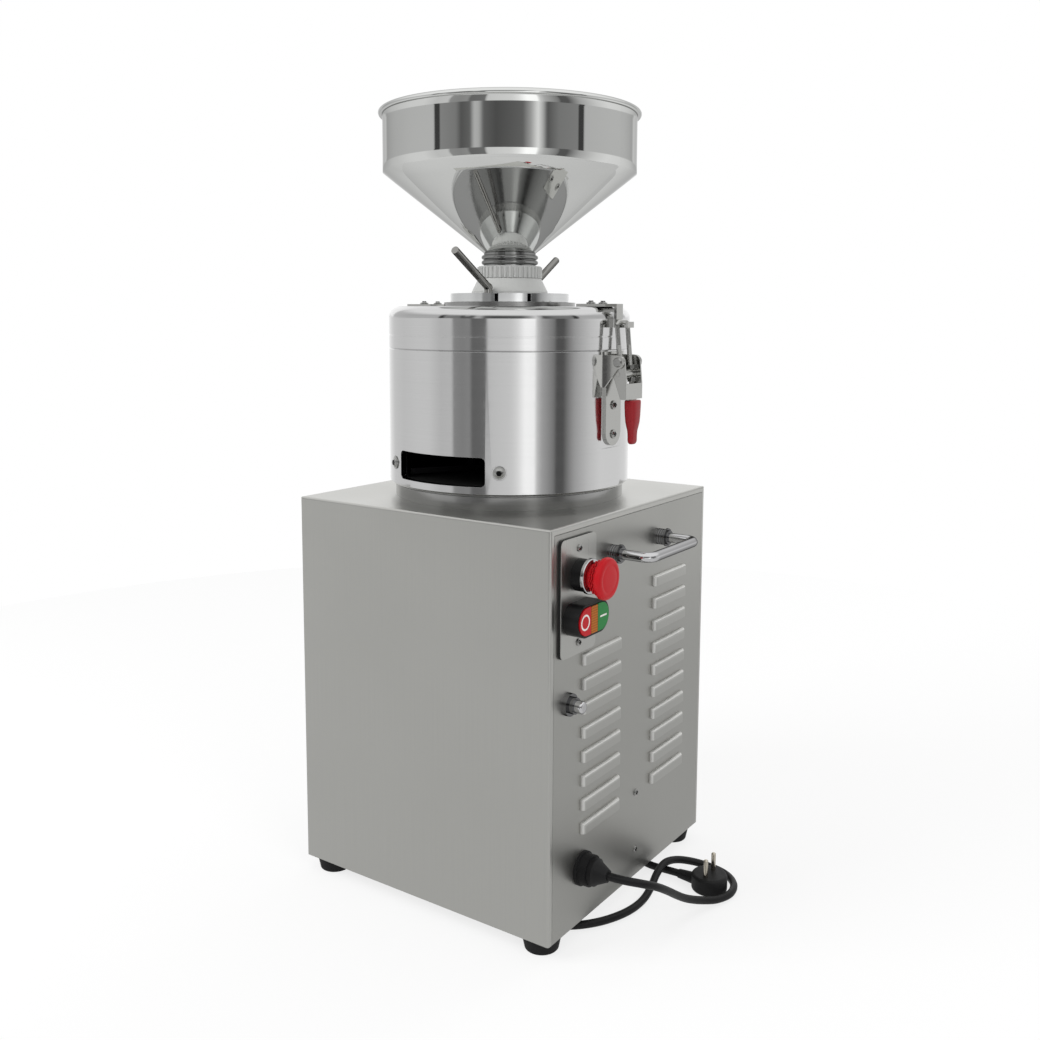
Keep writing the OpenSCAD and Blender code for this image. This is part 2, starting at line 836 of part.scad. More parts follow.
// Red mushroom head with a hollow neck
module estop_head() {
    color("#c3272f") along_x(0, switch_y, estop_z) rotate_extrude() difference() {
        union() {
            polygon([
                [0, head_neck_x0], [head_neck_r, head_neck_x0], [head_neck_r, head_flare_x0],
                [mushroom_r, head_flare_x1], [mushroom_r, head_x1 - head_edge], [0, head_x1 - head_edge]
            ]);
            translate([0, head_x1 - head_edge - over]) square([mushroom_r - head_edge, head_edge + over]);
            translate([mushroom_r - head_edge, head_x1 - head_edge]) circle(head_edge);
        }
        translate([0, head_neck_x0 - over]) square([stem_r + run_gap, stem_lap + move_gap + over]);
        translate([0, head_neck_x0])
            square([stem_r - 2 + run_gap, head_flare_x1 - head_neck_x0 + move_gap]);
    }
}

// Outline of the double push-button, shrunk on all sides by a margin
module pill(margin) {
    r = button_h / 2 - margin;
    square([button_w - button_h, 2 * r], center = true);
    for (s = [-1, 1])
        translate([s * (button_w - button_h) / 2, 0]) circle(r);
}

// Half of the pill beside the lens: side -1 is the front one
module half_pill(side, margin) {
    intersection() {
        pill(body_rim + margin);
        translate([side * (lens_w / 2 + margin + button_w / 2), 0])
            square([button_w, button_h], center = true);
    }
}

// Black body of the double push-button with wells for its buttons
module button_body() {
    color("#1d1d1f") translate([0, switch_y, button_z]) difference() {
        union() {
            slab_x(plate_x1, body_l) pill(0);
            along_x(panel_in - sleeve_in, 0, 0)
                cylinder(r = sleeve_r, h = sleeve_in + sheet + plate_t + over);
        }
        for (side = [-1, 1])
            slab_x(well_x0, body_x1 - well_x0 + over) half_pill(side, 0);
        slab_x(body_x1 - 4, 4 + over) square([lens_w - 2, button_h - 2 * body_rim - 4], center = true);
    }
}

// One push-button
module push_button(side) {
    translate([0, switch_y, button_z])
        slab_x(button_x0, body_x1 + button_proud - button_x0) half_pill(side, move_gap);
}

// Red stop button on the front side
module stop_button() {
    color("#c22c31") push_button(-1);
}

// Green start button on the rear side
module start_button() {
    color("#2c8f48") push_button(1);
}

// Amber lens between the buttons
module pilot_lens() {
    lens_h = button_h - 2 * body_rim - 4;
    color("#c97b16") translate([0, switch_y, button_z]) {
        slab_x(body_x1 - 4, 4) square([lens_w - 2, lens_h], center = true);
        slab_x(body_x1, button_proud) round_rect(lens_w - 2 * move_gap, lens_h + 3, 1);
    }
}

// Contact blocks and locknuts behind the panel
module contact_blocks() {
    block_x0 = panel_in - sleeve_in - block_l;
    color("#2a2a2c") for (z = [estop_z, button_z]) {
        translate([block_x0, switch_y - block_w / 2, z - block_h / 2]) cube([block_l, block_w, block_h]);
        along_x(panel_in - locknut_t, switch_y, z)
            ring(sleeve_r + locknut_w, sleeve_r + run_gap, locknut_t);
    }
}

// Overload switch: body and nut on a threaded neck
module overload_switch() {
    color("#b9b9b6") difference() {
        union() {
            along_x(panel_in - reset_lap, reset_y, reset_z)
                cylinder(r = reset_neck_r, h = reset_lap + sheet + reset_neck_l);
            along_x(panel_x, reset_y, reset_z) cylinder(r = reset_nut_r, h = reset_nut_t);
            translate([panel_in - reset_body[0], reset_y - reset_body[1] / 2, reset_z - reset_body[2] / 2])
                cube(reset_body);
        }
        along_x(panel_in - reset_lap - plunger_in, reset_y, reset_z)
            cylinder(r = plunger_r + run_gap, h = plunger_in + reset_lap + sheet + reset_neck_l + over);
    }
}

// Reset plunger of the overload switch
module reset_plunger() {
    x0 = panel_in - reset_lap - plunger_in + reset_travel + move_gap;
    x1 = panel_x + reset_neck_l + plunger_out;
    color("#d9d9d6") along_x(x0, reset_y, reset_z) rotate_extrude() {
        square([plunger_r, x1 - x0 - plunger_edge]);
        square([plunger_r - plunger_edge, x1 - x0]);
        translate([plunger_r - plunger_edge, x1 - x0 - plunger_edge]) circle(plunger_edge);
    }
}

// Bent chrome bar
module handle() {
    half = handle_l / 2;
    leg = handle_out - handle_bend;
    color("#d5d5d3") {
        for (s = [-1, 1]) {
            along_x(panel_x, s * half, handle_z) cylinder(r = handle_r, h = leg);
            along_x(panel_in - stud_l, s * half, handle_z) cylinder(r = stud_r, h = stud_l + sheet + over);
            translate([panel_x + leg, s * (half - handle_bend), handle_z])
                rotate([0, 0, s < 0 ? -90 : 0]) rotate_extrude(angle = 90)
                    translate([handle_bend, 0]) circle(handle_r);
        }
        along_y(handle_x1, -half + handle_bend, handle_z)
            cylinder(r = handle_r, h = handle_l - 2 * handle_bend);
    }
}

// Ferrules at the handle's feet: a grooved sleeve and its collar, and the nut behind the panel
module handle_ferrules() {
    inner = handle_r + run_gap;
    color("#77777a") for (s = [-1, 1]) {
        along_x(panel_x, s * handle_l / 2, handle_z) rotate_extrude() difference() {
            union() {
                translate([inner, 0]) square([ferrule_r - inner, ferrule_l - ferrule_nose]);
                translate([inner, 0]) square([ferrule_r - inner - ferrule_step, ferrule_l]);
                translate([inner, ferrule_l - ferrule_nose - ferrule_step])
                    square([ferrule_r - inner + ferrule_step, 2 * ferrule_step]);
            }
            for (i = [1:3])
                translate([ferrule_r, i * ferrule_pitch]) circle(ferrule_groove);
        }
        along_x(panel_in - stud_nut_t, s * handle_l / 2, handle_z) difference() {
            cylinder(r = 2 * stud_r, h = stud_nut_t, $fn = 6);
            translate([0, 0, -over]) cylinder(r = stud_r + run_gap, h = stud_nut_t + 2 * over);
        }
    }
}

// Gland's body with its flange, and the locknut behind the panel
module cable_gland() {
    bore = cord_r + gland_room;
    face = gland_back + sheet;
    color("#1c1c1e") along_x(panel_in - gland_back, gland_y, gland_z) difference() {
        union() {
            cylinder(r = gland_sleeve_r, h = face + over);
            translate([0, 0, face]) cylinder(r = gland_flange_r, h = gland_flange_t);
            translate([0, 0, face]) cylinder(r = gland_body_r, h = gland_flange_t + gland_body_l);
            translate([0, 0, gland_back - gland_nut_t])
                cylinder(r = gland_flange_r, h = gland_nut_t, $fn = 6);
        }
        translate([0, 0, -over]) cylinder(r = bore, h = face + gland_flange_t + gland_body_l + 2 * over);
    }
}

// Tapered dome nut that grips the lead
module gland_nut() {
    tip_z = gland_nut_l;
    color("#19191b") along_x(gland_x1, gland_y, gland_z) rotate_extrude() difference() {
        polygon([
            [0, 0], [gland_body_r - 2, 0], [gland_body_r - 2, 5], [gland_body_r - 4, 7],
            [gland_tip_r, tip_z - 2], [gland_tip_r - 1, tip_z], [0, tip_z]
        ]);
        translate([0, -over]) square([cord_r + run_gap, tip_z + 2 * over]);
    }
}

// Point on a smooth curve through four neighbouring points
function smooth(a, b, c, d, t) =
    0.5 * (2 * b + (c - a) * t + (2 * a - 5 * b + 4 * c - d) * t * t + (3 * b - a - 3 * c + d) * t * t * t);

// Route point that stays inside the list's ends
function route(i) = cord_route[min(max(i, 0), len(cord_route) - 1)];

// The route's points with one more between each pair
cord_line = [
    for (i = [0:len(cord_route) - 2], t = [0, 0.5])
        smooth(route(i - 1), route(i), route(i + 1), route(i + 2), t),
    route(len(cord_route) - 1)
];

function unit(v) = v / norm(v);

// Ring of points square to the line at one of its points
function cord_ring(i) =
    let (
        last = len(cord_line) - 1,
        ahead = unit(cord_line[min(i + 1, last)] - cord_line[max(i - 1, 0)]),
        side = unit(cross([0, 0, 1], ahead)),
        top = cross(ahead, side)
    )
    [for (k = [0:cord_sides - 1])
        cord_line[i] + cord_r * (cos(k * 360 / cord_sides) * side + sin(k * 360 / cord_sides) * top)];

// Mains lead as one swept tube
module cord() {
    rings = len(cord_line);
    points = [for (i = [0:rings - 1]) each cord_ring(i)];
    walls = [
        for (i = [0:rings - 2], k = [0:cord_sides - 1])
            let (a = i * cord_sides, b = (k + 1) % cord_sides)
            [a + cord_sides + k, a + cord_sides + b, a + b, a + k]
    ];
    first = [for (k = [0:cord_sides - 1]) k];
    last = [for (k = [cord_sides - 1:-1:0]) (rings - 1) * cord_sides + k];
    color("#161617") polyhedron(points = points, faces = concat(walls, [first, last]));
}

// Round plug lying on its back, with a tapered boot for the lead
module plug() {
    boot_l = plug_reach - plug_r + plug_edge;
    color("#1a1a1b") difference() {
        union() {
            translate(plug_pos) rotate_extrude() {
                square([plug_r - plug_edge, plug_h]);
                translate([0, plug_edge]) square([plug_r, plug_h - 2 * plug_edge]);
                for (z = [plug_edge, plug_h - plug_edge])
                    translate([plug_r - plug_edge, z]) circle(plug_edge);
            }
            translate(cord_end) rotate([0, 90, 0])
                cylinder(r1 = plug_boot_r0, r2 = plug_boot_r1, h = boot_l);
        }
        for (s = [-1, 1])
            translate(plug_pos + [0, s * plug_pin_half, plug_h - plug_pin_in])
                cylinder(r = plug_pin_r + run_gap, h = plug_pin_in + over);
    }
}

// The plug's two pins
module plug_pins() {
    l = plug_pin_in + plug_pin_l;
    color("#c8c8c4") for (s = [-1, 1])
        translate(plug_pos + [0, s * plug_pin_half, plug_h - plug_pin_in]) {
            cylinder(r = plug_pin_r, h = l - plug_pin_r / 2);
            translate([0, 0, l - plug_pin_r / 2])
                cylinder(r1 = plug_pin_r, r2 = plug_pin_r / 2, h = plug_pin_r / 2);
        }
}

// Holes for the bolts that clamp the motor, the cabinet's top, the ring and the drum
module motor_bolt_holes(z, h) {
    for (a = [45:90:315])
        on_circle(a, motor_bolt_at, z) cylinder(r = motor_bolt_r + screw_gap, h = h);
}

// Ring between the cabinet and the drum
module base_ring() {
    color("#8f8f8d") difference() {
        translate([0, 0, ring_z0]) rotate_extrude() difference() {
            translate([top_hole_r, 0]) square([ring_r - top_hole_r, ring_h]);
            translate([ring_r - ring_groove, ring_h - ring_groove]) square(ring_groove + over);
        }
        motor_bolt_holes(ring_z0 - over, ring_h + 2 * over);
    }
}

// Drum with its floor, hub, discharge window and the latches' flats
module drum() {
    color("#c4c5c6") difference() {
        translate([0, 0, drum_z0]) rotate_extrude() difference() {
            square([drum_r, drum_h]);
            difference() {
                translate([0, drum_floor]) square([drum_in, drum_h]);
                square([hub_r, drum_floor + hub_h]);
            }
            translate([0, -over]) square([shaft_r + move_gap, drum_h]);
            translate([0, drum_floor + hub_h - seal_t - move_gap]) square([seal_out + run_gap, drum_h]);
            translate([0, -over]) square([top_hole_r, floor_step + over]);
            polygon([
                [drum_r - drum_edge - over, -over], [drum_r + over, -over],
                [drum_r + over, drum_edge + over]
            ]);
            polygon([
                [drum_r + over, drum_h - seam - over], [drum_r + over, drum_h + over],
                [drum_r - seam - over, drum_h + over]
            ]);
        }
        translate([0, -drum_r, window_z]) slab_y(3 * drum_wall + drum_r / 4)
            round_rect(window_w, window_h, window_r);
        for (s = [-1, 1]) {
            on_side(s) translate([seat_x, -drum_r / 2, latch_z0 - 2])
                cube([drum_wall, drum_r, drum_z1 - latch_z0 + 2 + over]);
            on_side(s) for (z = latch_screw_z)
                along_x(drum_in - over, 0, z) cylinder(r = latch_screw_r + run_gap, h = 2 * drum_wall);
            on_circle(s * window_screw_deg, drum_in - over, window_z) rotate([90, 0, 0])
                cylinder(r = window_screw_r + run_gap, h = 2 * drum_wall);
            on_circle(s * window_screw_deg, drum_r - spot_depth, window_z) rotate([90, 0, 0])
                cylinder(r = window_head_r + 1, h = drum_wall);
        }
        motor_bolt_holes(drum_z0 - over, drum_floor - floor_step + over);
    }
}

// Domed screws beside the window, where a spout is fitted
module discharge_screws() {
    color("#a8a8a6") for (s = [-1, 1])
        on_circle(s * window_screw_deg, drum_r - spot_depth, window_z) rotate([90, 0, 0])
            screw(window_screw_r, drum_wall - spot_depth, window_head_r, window_head_h);
}

// Cover with its lip band, rounded edge, spigot and the adjuster's bore
module cover() {
    z1 = cover_h;
    edge = min(cover_edge, cover_h - lip_h - 2);
    color("#c9cacb") difference() {
        translate([0, 0, drum_z1]) rotate_extrude() difference() {
            union() {
                square([drum_r, z1 - edge]);
                square([drum_r - edge, z1]);
                translate([drum_r - edge, z1 - edge]) circle(edge);
                translate([0, -spigot_h]) square([drum_in - run_gap, spigot_h]);
            }
            translate([0, -spigot_h - over]) square([cover_in, cover_h - cover_top + spigot_h + over]);
            translate([0, -spigot_h - over]) square([cover_bore, cover_h + spigot_h + 2 * over]);
            translate([drum_r, lip_h]) square([line_w, line_w], center = true);
            polygon([
                [drum_r - seam - over, -over], [drum_r + over, -over], [drum_r + over, seam + over]
            ]);
            translate([drum_in - run_gap, -spigot_h / 2]) circle(seal_r + run_gap);
            translate([-drum_r, -drum_r]) square([drum_r, 3 * drum_r]);
        }
        at_keeper_screws(cover_z1 - keeper_screw_l - 1)
            cylinder(r = keeper_screw_r + run_gap, h = keeper_screw_l + 1 + over);
        for (s = [-1, 1])
            on_circle(90 * s, pin_at, cover_z1 - cover_top - over)
                cylinder(r = pin_r + run_gap, h = over + 5);
    }
}

// O-ring on the cover's spigot
module cover_seal() {
    color("#2b2b2b") translate([0, 0, drum_z1 - spigot_h / 2]) rotate_extrude() intersection() {
        translate([drum_in - run_gap, 0]) circle(seal_r);
        square([2 * (drum_in - run_gap), 4 * seal_r], center = true);
    }
}

// Repeats a shape at the screws of both keepers
module at_keeper_screws(z) {
    for (sx = [-1, 1], sy = [-1, 1])
        translate([sx * (drum_r - keeper_screw_in), sy * keeper_screw_half, z]) children();
}

// Keeper on the cover: a plate that bends down into a hook
module keeper() {
    lip_x = hook_x1 + hook_room;
    floor_z0 = hook_floor - hook_t;
    difference() {
        union() {
            translate([drum_r - keeper_in, -keeper_w / 2, cover_z1]) cube([keeper_in, keeper_w, keeper_t]);
            slab_y(hook_w) {
                translate([drum_r - keeper_in / 2, cover_z1])
                    square([keeper_in / 2 + hook_out + hook_t, keeper_t]);
                translate([hook_x1 - hook_t, floor_z0]) square([hook_t, cover_z1 + keeper_t - floor_z0]);
                translate([hook_x1 - hook_t, floor_z0]) square([lip_x - hook_x1 + hook_t + lip_t, hook_t]);
                translate([lip_x, floor_z0]) square([lip_t, hook_t + hook_lip]);
            }
        }
        at_keeper_screws(cover_z1 - over) cylinder(r = keeper_screw_r + screw_gap, h = keeper_t + 2 * over);
    }
}

// Both keepers
module cover_keepers() {
    color("#b4b4b0") for (side = [-1, 1])
        on_side(side) keeper();
}

// Screws of both keepers
module keeper_screws() {
    color("#a5a5a2") at_keeper_screws(cover_z1 + keeper_t)
        screw(keeper_screw_r, keeper_t + keeper_screw_l, keeper_head_r, keeper_head_h);
}

// Base plate of a latch, its two ears turned out from the edges
module latch_base() {
    ear_out = ear_in + ear_t;
    plate_x = seat_x + latch_t;
    difference() {
        union() {
            slab_x(seat_x, latch_t) {
                translate([0, latch_z0 + latch_w / 2]) circle(latch_w / 2);
                translate([-latch_w / 2, latch_z0 + latch_w / 2]) square([latch_w, latch_h - latch_w / 2]);
                translate([-ear_out, pivot[1] - ear_down])
                    square([2 * ear_out, latch_z1 - pivot[1] + ear_down]);
            }
            for (s = [-1, 1])
                translate([0, s * (ear_in + ear_t / 2), 0]) slab_y(ear_t) {
                    translate(pivot) circle(pivot_eye);
                    polygon([
                        [seat_x, pivot[1] - ear_down], [plate_x, pivot[1] - ear_down],
                        [pivot[0], pivot[1] - pivot_eye],
                        [pivot[0], pivot[1] + pivot_eye], [seat_x, pivot[1] + pivot_eye]
                    ]);
                }
        }
        along_y(pivot[0], -ear_out - over, pivot[1])
            cylinder(r = rivet_r + run_gap, h = 2 * (ear_out + over));
        for (z = latch_screw_z)
            along_x(seat_x - over, 0, z) cylinder(r = latch_screw_r + screw_gap, h = latch_t + 2 * over);
    }
}

// Both base plates
module latch_bases() {
    color("#b0b0ac") for (side = [-1, 1])
        on_side(side) latch_base();
}

// Lever of a latch: two cheeks, the web that joins them and the strap inside the grip
module latch_lever(side) {
    cheek_out = cheek_in + cheek_t;
    on_side(side) color("#b8b8b4") difference() {
        union() {
            for (s = [-1, 1])
                translate([0, s * (cheek_in + cheek_t / 2), 0]) slab_y(cheek_t) {
                    translate(pivot) circle(pivot_eye);
                    translate(trunnion) circle(pivot_eye - 1);
                    polygon([
                        [pivot[0] - pivot_eye, pivot[1]], [trunnion[0] - pivot_eye + 1, trunnion[1]],
                        [web_x - 4, web_z0], [web_x + latch_t, web_z0], [web_x + latch_t, web_z1],
                        [pivot[0] + pivot_eye, pivot[1]]
                    ]);
                }
            translate([web_x, -cheek_out, web_z0]) cube([latch_t, 2 * cheek_out, web_z1 - web_z0]);
            translate([web_x + latch_t - strap_t, -strap_w / 2, grip_z0 + strap_up])
                cube([strap_t, strap_w, web_z0 - grip_z0]);
        }
        along_y(pivot[0], -cheek_out - over, pivot[1])
            cylinder(r = rivet_r + run_gap, h = 2 * (cheek_out + over));
        along_y(trunnion[0], -cheek_out - over, trunnion[1])
            cylinder(r = trunnion_pin_r + run_gap, h = 2 * (cheek_out + over));
    }
}

// Red vinyl sleeve over a lever's strap, with a finger step above its tip
module latch_grip(side) {
    mid_x = web_x + latch_t - strap_t / 2;
    half = grip_t / 2;
    tip_w = strap_w / 2 + grip_wall;
    tip_t = strap_t / 2 + grip_wall;
    step_z = grip_z0 + grip_l * 0.4;
    on_side(side) color("#a9232e") difference() {
        intersection() {
            slab_x(mid_x - grip_t, 2 * grip_t) polygon([
                [-grip_w / 2, grip_z1], [grip_w / 2, grip_z1], [tip_w, grip_z0 + strap_up],
                [tip_w - strap_up / 2, grip_z0], [strap_up / 2 - tip_w, grip_z0], [-tip_w, grip_z0 + strap_up]
            ]);
            slab_y(2 * grip_w) polygon([
                [mid_x - half, grip_z1], [mid_x + half, grip_z1], [mid_x + tip_t, grip_z0 + strap_up / 2],
                [mid_x + strap_t / 2, grip_z0], [mid_x - strap_t / 2, grip_z0],
                [mid_x - tip_t, grip_z0 + strap_up / 2], [mid_x - tip_t, step_z - strap_up],
                [mid_x - half + 0.5, step_z]
            ]);
        }
        translate([mid_x - strap_t / 2 - run_gap, -strap_w / 2 - run_gap, grip_z0 + strap_up - run_gap])
            cube([strap_t + 2 * run_gap, strap_w + 2 * run_gap, grip_l]);
    }
}

// Leans a shape from the trunnion towards the keeper's hook
module along_bolt() {
    translate([trunnion[0], 0, trunnion[1]]) rotate([0, -bolt_lean, 0]) children();
}

// Both legs of the U-bolt, or their holes, grown by a clearance
module bolt_legs(gap) {
    for (s = [-1, 1])
        translate([0, s * bolt_half, -bolt_tail])
            cylinder(r = bolt_r + gap, h = bolt_tail + bolt_len - bolt_bend);
}

// U-bolt of a latch, the trunnion that it passes through and its four nuts
module latch_bolt(side) {
    straight = bolt_half - bolt_bend;
    on_side(side) color("#bcbcb8") along_bolt() {
        bolt_legs(0);
        for (s = [-1, 1])
            translate([0, s * straight, bolt_len - bolt_bend]) rotate([90, 0, s * 90])
                rotate_extrude(angle = 90) translate([bolt_bend, 0]) circle(bolt_r);
        along_y(0, -straight, bolt_len) cylinder(r = bolt_r, h = 2 * straight);
        difference() {
            union() {
                along_y(0, -cheek_in + move_gap, 0) cylinder(r = trunnion_r, h = 2 * (cheek_in - move_gap));
                along_y(0, -cheek_in - cheek_t, 0)
                    cylinder(r = trunnion_pin_r, h = 2 * (cheek_in + cheek_t));
            }
            bolt_legs(run_gap);
        }
        difference() {
            for (s = [-1, 1], z = [-trunnion_r - bolt_nut_t, trunnion_r])
                translate([0, s * bolt_half, z])
                    cylinder(r = bolt_nut_af / sqrt(3), h = bolt_nut_t, $fn = 6);
            bolt_legs(run_gap);
        }
    }
}

// Rivets that the levers turn on: separate stubs, so that the U-bolt passes between them
module latch_rivets() {
    ear_out = ear_in + ear_t;
    color("#8c8c88") for (side = [-1, 1], s = [-1, 1])
        on_side(side) translate([pivot[0], 0, pivot[1]]) rotate([-90 * s, 0, 0])
            translate([0, 0, cheek_in]) {
            cylinder(r = rivet_r, h = ear_out - cheek_in);
            translate([0, 0, ear_out - cheek_in]) cylinder(r1 = rivet_r + 2, r2 = rivet_r + 1, h = 1.6);
        }
}

// Screws that hold the latches on the drum
module latch_screws() {
    color("#9d9d9a") for (side = [-1, 1], z = latch_screw_z)
        on_side(side) along_x(seat_x + latch_t, 0, z)
            screw(latch_screw_r, latch_t + drum_wall - latch_screw_short, latch_head_r, latch_head_h);
}

// Thin flange that the adjusting disc turns over
module retaining_flange() {
    color("#bdbdbb") translate([0, 0, flange_z0]) ring(flange_r, cover_bore + move_gap, flange_t);
}

// Adjusting disc with two index notches, on a spigot in the cover
module adjusting_disc() {
    color("#b9bab9") difference() {
        union() {
            translate([0, 0, disc_z0]) cylinder(r = disc_r, h = disc_t);
            translate([0, 0, disc_z0 - spigot_l]) cylinder(r = spigot_r, h = spigot_l + over);
        }
        translate([0, 0, disc_z0 - spigot_l - over])
            cylinder(r = sleeve_out + run_gap, h = spigot_l + disc_t + 2 * over);
        for (a = notch_deg)
            on_circle(a, disc_r - notch_d, disc_z0 - over) translate([-notch_w / 2, -2 * notch_d, 0])
                cube([notch_w, 2 * notch_d, disc_t + 2 * over]);
        for (s = [0, 180])
            on_circle(lever_deg + s, lever_foot, disc_z1 - lever_in)
                cylinder(r = lever_r + run_gap, h = lever_in + over);
    }
}

// Two rods that turn the adjusting disc, each welded to its pin in a round knuckle
module adjusting_levers() {
    reach = (lever_tip - lever_foot) / cos(lever_slope);
    color("#8a8a88") for (s = [0, 180])
        on_circle(lever_deg + s, lever_foot, 0) {
            translate([0, 0, disc_z1 - lever_in])
                cylinder(r = lever_r, h = lever_in + lever_bend_z - disc_z1);
            translate([0, 0, lever_bend_z]) sphere(r = lever_knuckle);
            translate([0, 0, lever_bend_z]) rotate([90 - lever_slope, 0, 0])
                cylinder(r = lever_r, h = reach);
        }
}

// Threaded sleeve that carries the upper stone, with the feed bore through it
module stator_sleeve() {
    color("#aeb0b0") difference() {
        union() {
            translate([0, 0, stator_z1]) cylinder(r = holder_r, h = holder_t);
            translate([0, 0, stator_z1]) cylinder(r = sleeve_out, h = collar_z0 - stator_z1);
        }
        translate([0, 0, stator_z1 - over]) cylinder(r = throat_r, h = collar_z0 - stator_z1 + 2 * over);
        for (s = [-1, 1])
            on_circle(90 * s, pin_at, stator_z1 - over)
                cylinder(r = pin_r + run_gap, h = holder_t + 2 * over);
    }
}

// Furrows cut across a stone's face, which starts at z
module stone_furrows(z) {
    for (i = [0:furrows - 1])
        rotate([0, 0, i * 360 / furrows]) translate([throat_r / 2, throat_r / 3, z])
            cube([stone_r, furrow_w, furrow_d + over]);
}

// Upper stone with a coned feed mouth
module stator_stone() {
    color("#7d7f80") difference() {
        translate([0, 0, stator_z0]) rotate_extrude() difference() {
            square([stone_r, stone_t]);
            translate([0, -over]) square([throat_r, stone_t + 2 * over]);
            polygon([[0, 0], [throat_r + stone_cone, 0], [throat_r, stone_cone], [0, stone_cone]]);
        }
        translate([0, 0, stator_z0 - over]) stone_furrows(0);
    }
}

// Pins in the cover that keep the stator from turning
module guide_pins() {
    color("#a0a0a0") for (s = [-1, 1])
        on_circle(90 * s, pin_at, cover_z1 - cover_top + 4 - pin_l) cylinder(r = pin_r, h = pin_l);
}

// White collar with a spigot for the union nut
module hopper_collar() {
    color("#e4e4e1") difference() {
        translate([0, 0, collar_z0]) rotate_extrude() difference() {
            union() {
                polygon([[0, 0], [collar_r0, 0], [collar_r0, 2], [collar_r1, collar_h], [0, collar_h]]);
                square([neck_spigot_r, neck_z0 - collar_z0]);
            }
            translate([0, -over]) square([throat_r, collar_h + nut_h]);
            translate([-nut_r, -nut_r]) square([nut_r, 4 * nut_r]);
        }
    }
}

// Ribbed white nut that clamps the hopper's neck
module union_nut() {
    lip_z = neck_z0 + neck_flange_t + move_gap;
    color("#ececea") difference() {
        union() {
            translate([0, 0, collar_z1 + move_gap]) cylinder(r = nut_r - nut_rib_r, h = nut_h - move_gap);
            for (i = [0:nut_ribs - 1])
                rotate([0, 0, i * 360 / nut_ribs]) translate([nut_r - nut_rib_r, 0, collar_z1 + move_gap])
                    cylinder(r = nut_rib_r, h = nut_h - move_gap - 1, $fn = 16);
        }
        translate([0, 0, collar_z1 - over])
            cylinder(r = neck_spigot_r + move_gap, h = lip_z - collar_z1 + over);
        translate([0, 0, collar_z1 - over]) cylinder(r = neck_r + move_gap, h = nut_h + 2 * over);
    }
}

// Spun hopper: flanged and beaded neck, cone, cylinder and rolled rim
module hopper() {
    slant = hopper_t * norm([hopper_r - neck_r, hopper_cone]) / hopper_cone;
    color("#cfd0d0") rotate_extrude() difference() {
        union() {
            translate([neck_r - hopper_t, neck_z0]) square([hopper_t, cone_z0 - neck_z0]);
            translate([neck_r - hopper_t, neck_z0])
                square([neck_spigot_r - neck_r + hopper_t, neck_flange_t]);
            for (i = [0, 1])
                translate([neck_r, nut_z1 + bead_up + i * bead_pitch]) circle(bead_r);
            polygon([
                [neck_r - slant, cone_z0], [neck_r, cone_z0], [hopper_r, cone_z1], [hopper_r - slant, cone_z1]
            ]);
            translate([hopper_r - hopper_t, cone_z1]) square([hopper_t, hopper_cyl]);
            translate([hopper_r + rim_r - hopper_t, hopper_z1]) circle(rim_r);
        }
        translate([0, neck_z0 - over]) square([neck_r - hopper_t, cone_z0 - neck_z0 + over]);
    }
}

// Motor shaft with its rotor core and the nut that clamps the lower stone
module drive_shaft() {
    color("#9fa1a3") {
        translate([0, 0, fan_z0 - 4]) cylinder(r = shaft_r, h = rotor_z1 - fan_z0 + 4);
        translate([0, 0, core_z0]) cylinder(r = core_r, h = core_l);
        translate([0, 0, rotor_z1 - stone_cone]) cylinder(r = shaft_nut_r, h = stone_cone);
        translate([0, 0, rotor_z1]) cylinder(r1 = shaft_nut_r, r2 = 4, h = shaft_nut_h);
    }
}

// Steel carrier of the lower stone, with blades that sweep the chamber's floor
module rotor_hub() {
    bore = shaft_r + run_gap;
    blade_z = chamber_z + 2;
    color("#a4a6a7") difference() {
        union() {
            translate([0, 0, hub_z0]) cylinder(r = stone_r + 4, h = hub_t);
            translate([0, 0, hub_z0 + hub_t - over])
                cylinder(r = stone_r - 6, h = rotor_z0 - hub_z0 - hub_t + over);
            for (a = [0, 120, 240])
                rotate([0, 0, a]) {
                    translate([stone_r - 8, -blade_t / 2, blade_z])
                        cube([blade_t * 2, blade_t, hub_z0 - blade_z + over]);
                    translate([hub_r + 3, -blade_t / 2, blade_z])
                        cube([blade_tip - hub_r - 3, blade_t, blade_h]);
                }
        }
        translate([0, 0, hub_z0 - over]) cylinder(r = bore, h = rotor_z0 - hub_z0 + 2 * over);
    }
}

// Lower stone, coned at its middle for the feed
module rotor_stone() {
    color("#77797a") difference() {
        translate([0, 0, rotor_z0]) rotate_extrude() difference() {
            square([stone_r, stone_t]);
            translate([0, -over]) square([shaft_r + run_gap, stone_t + 2 * over]);
            polygon([
                [0, stone_t - stone_cone], [throat_r, stone_t - stone_cone], [throat_r + stone_cone, stone_t],
                [0, stone_t]
            ]);
        }
        translate([0, 0, rotor_z1 - furrow_d]) stone_furrows(0);
    }
}

// Lip seal in the drum's hub
module shaft_seal() {
    color("#26282a")
        translate([0, 0, chamber_z + hub_h - seal_t]) ring(seal_out, shaft_r + run_gap, seal_t);
}

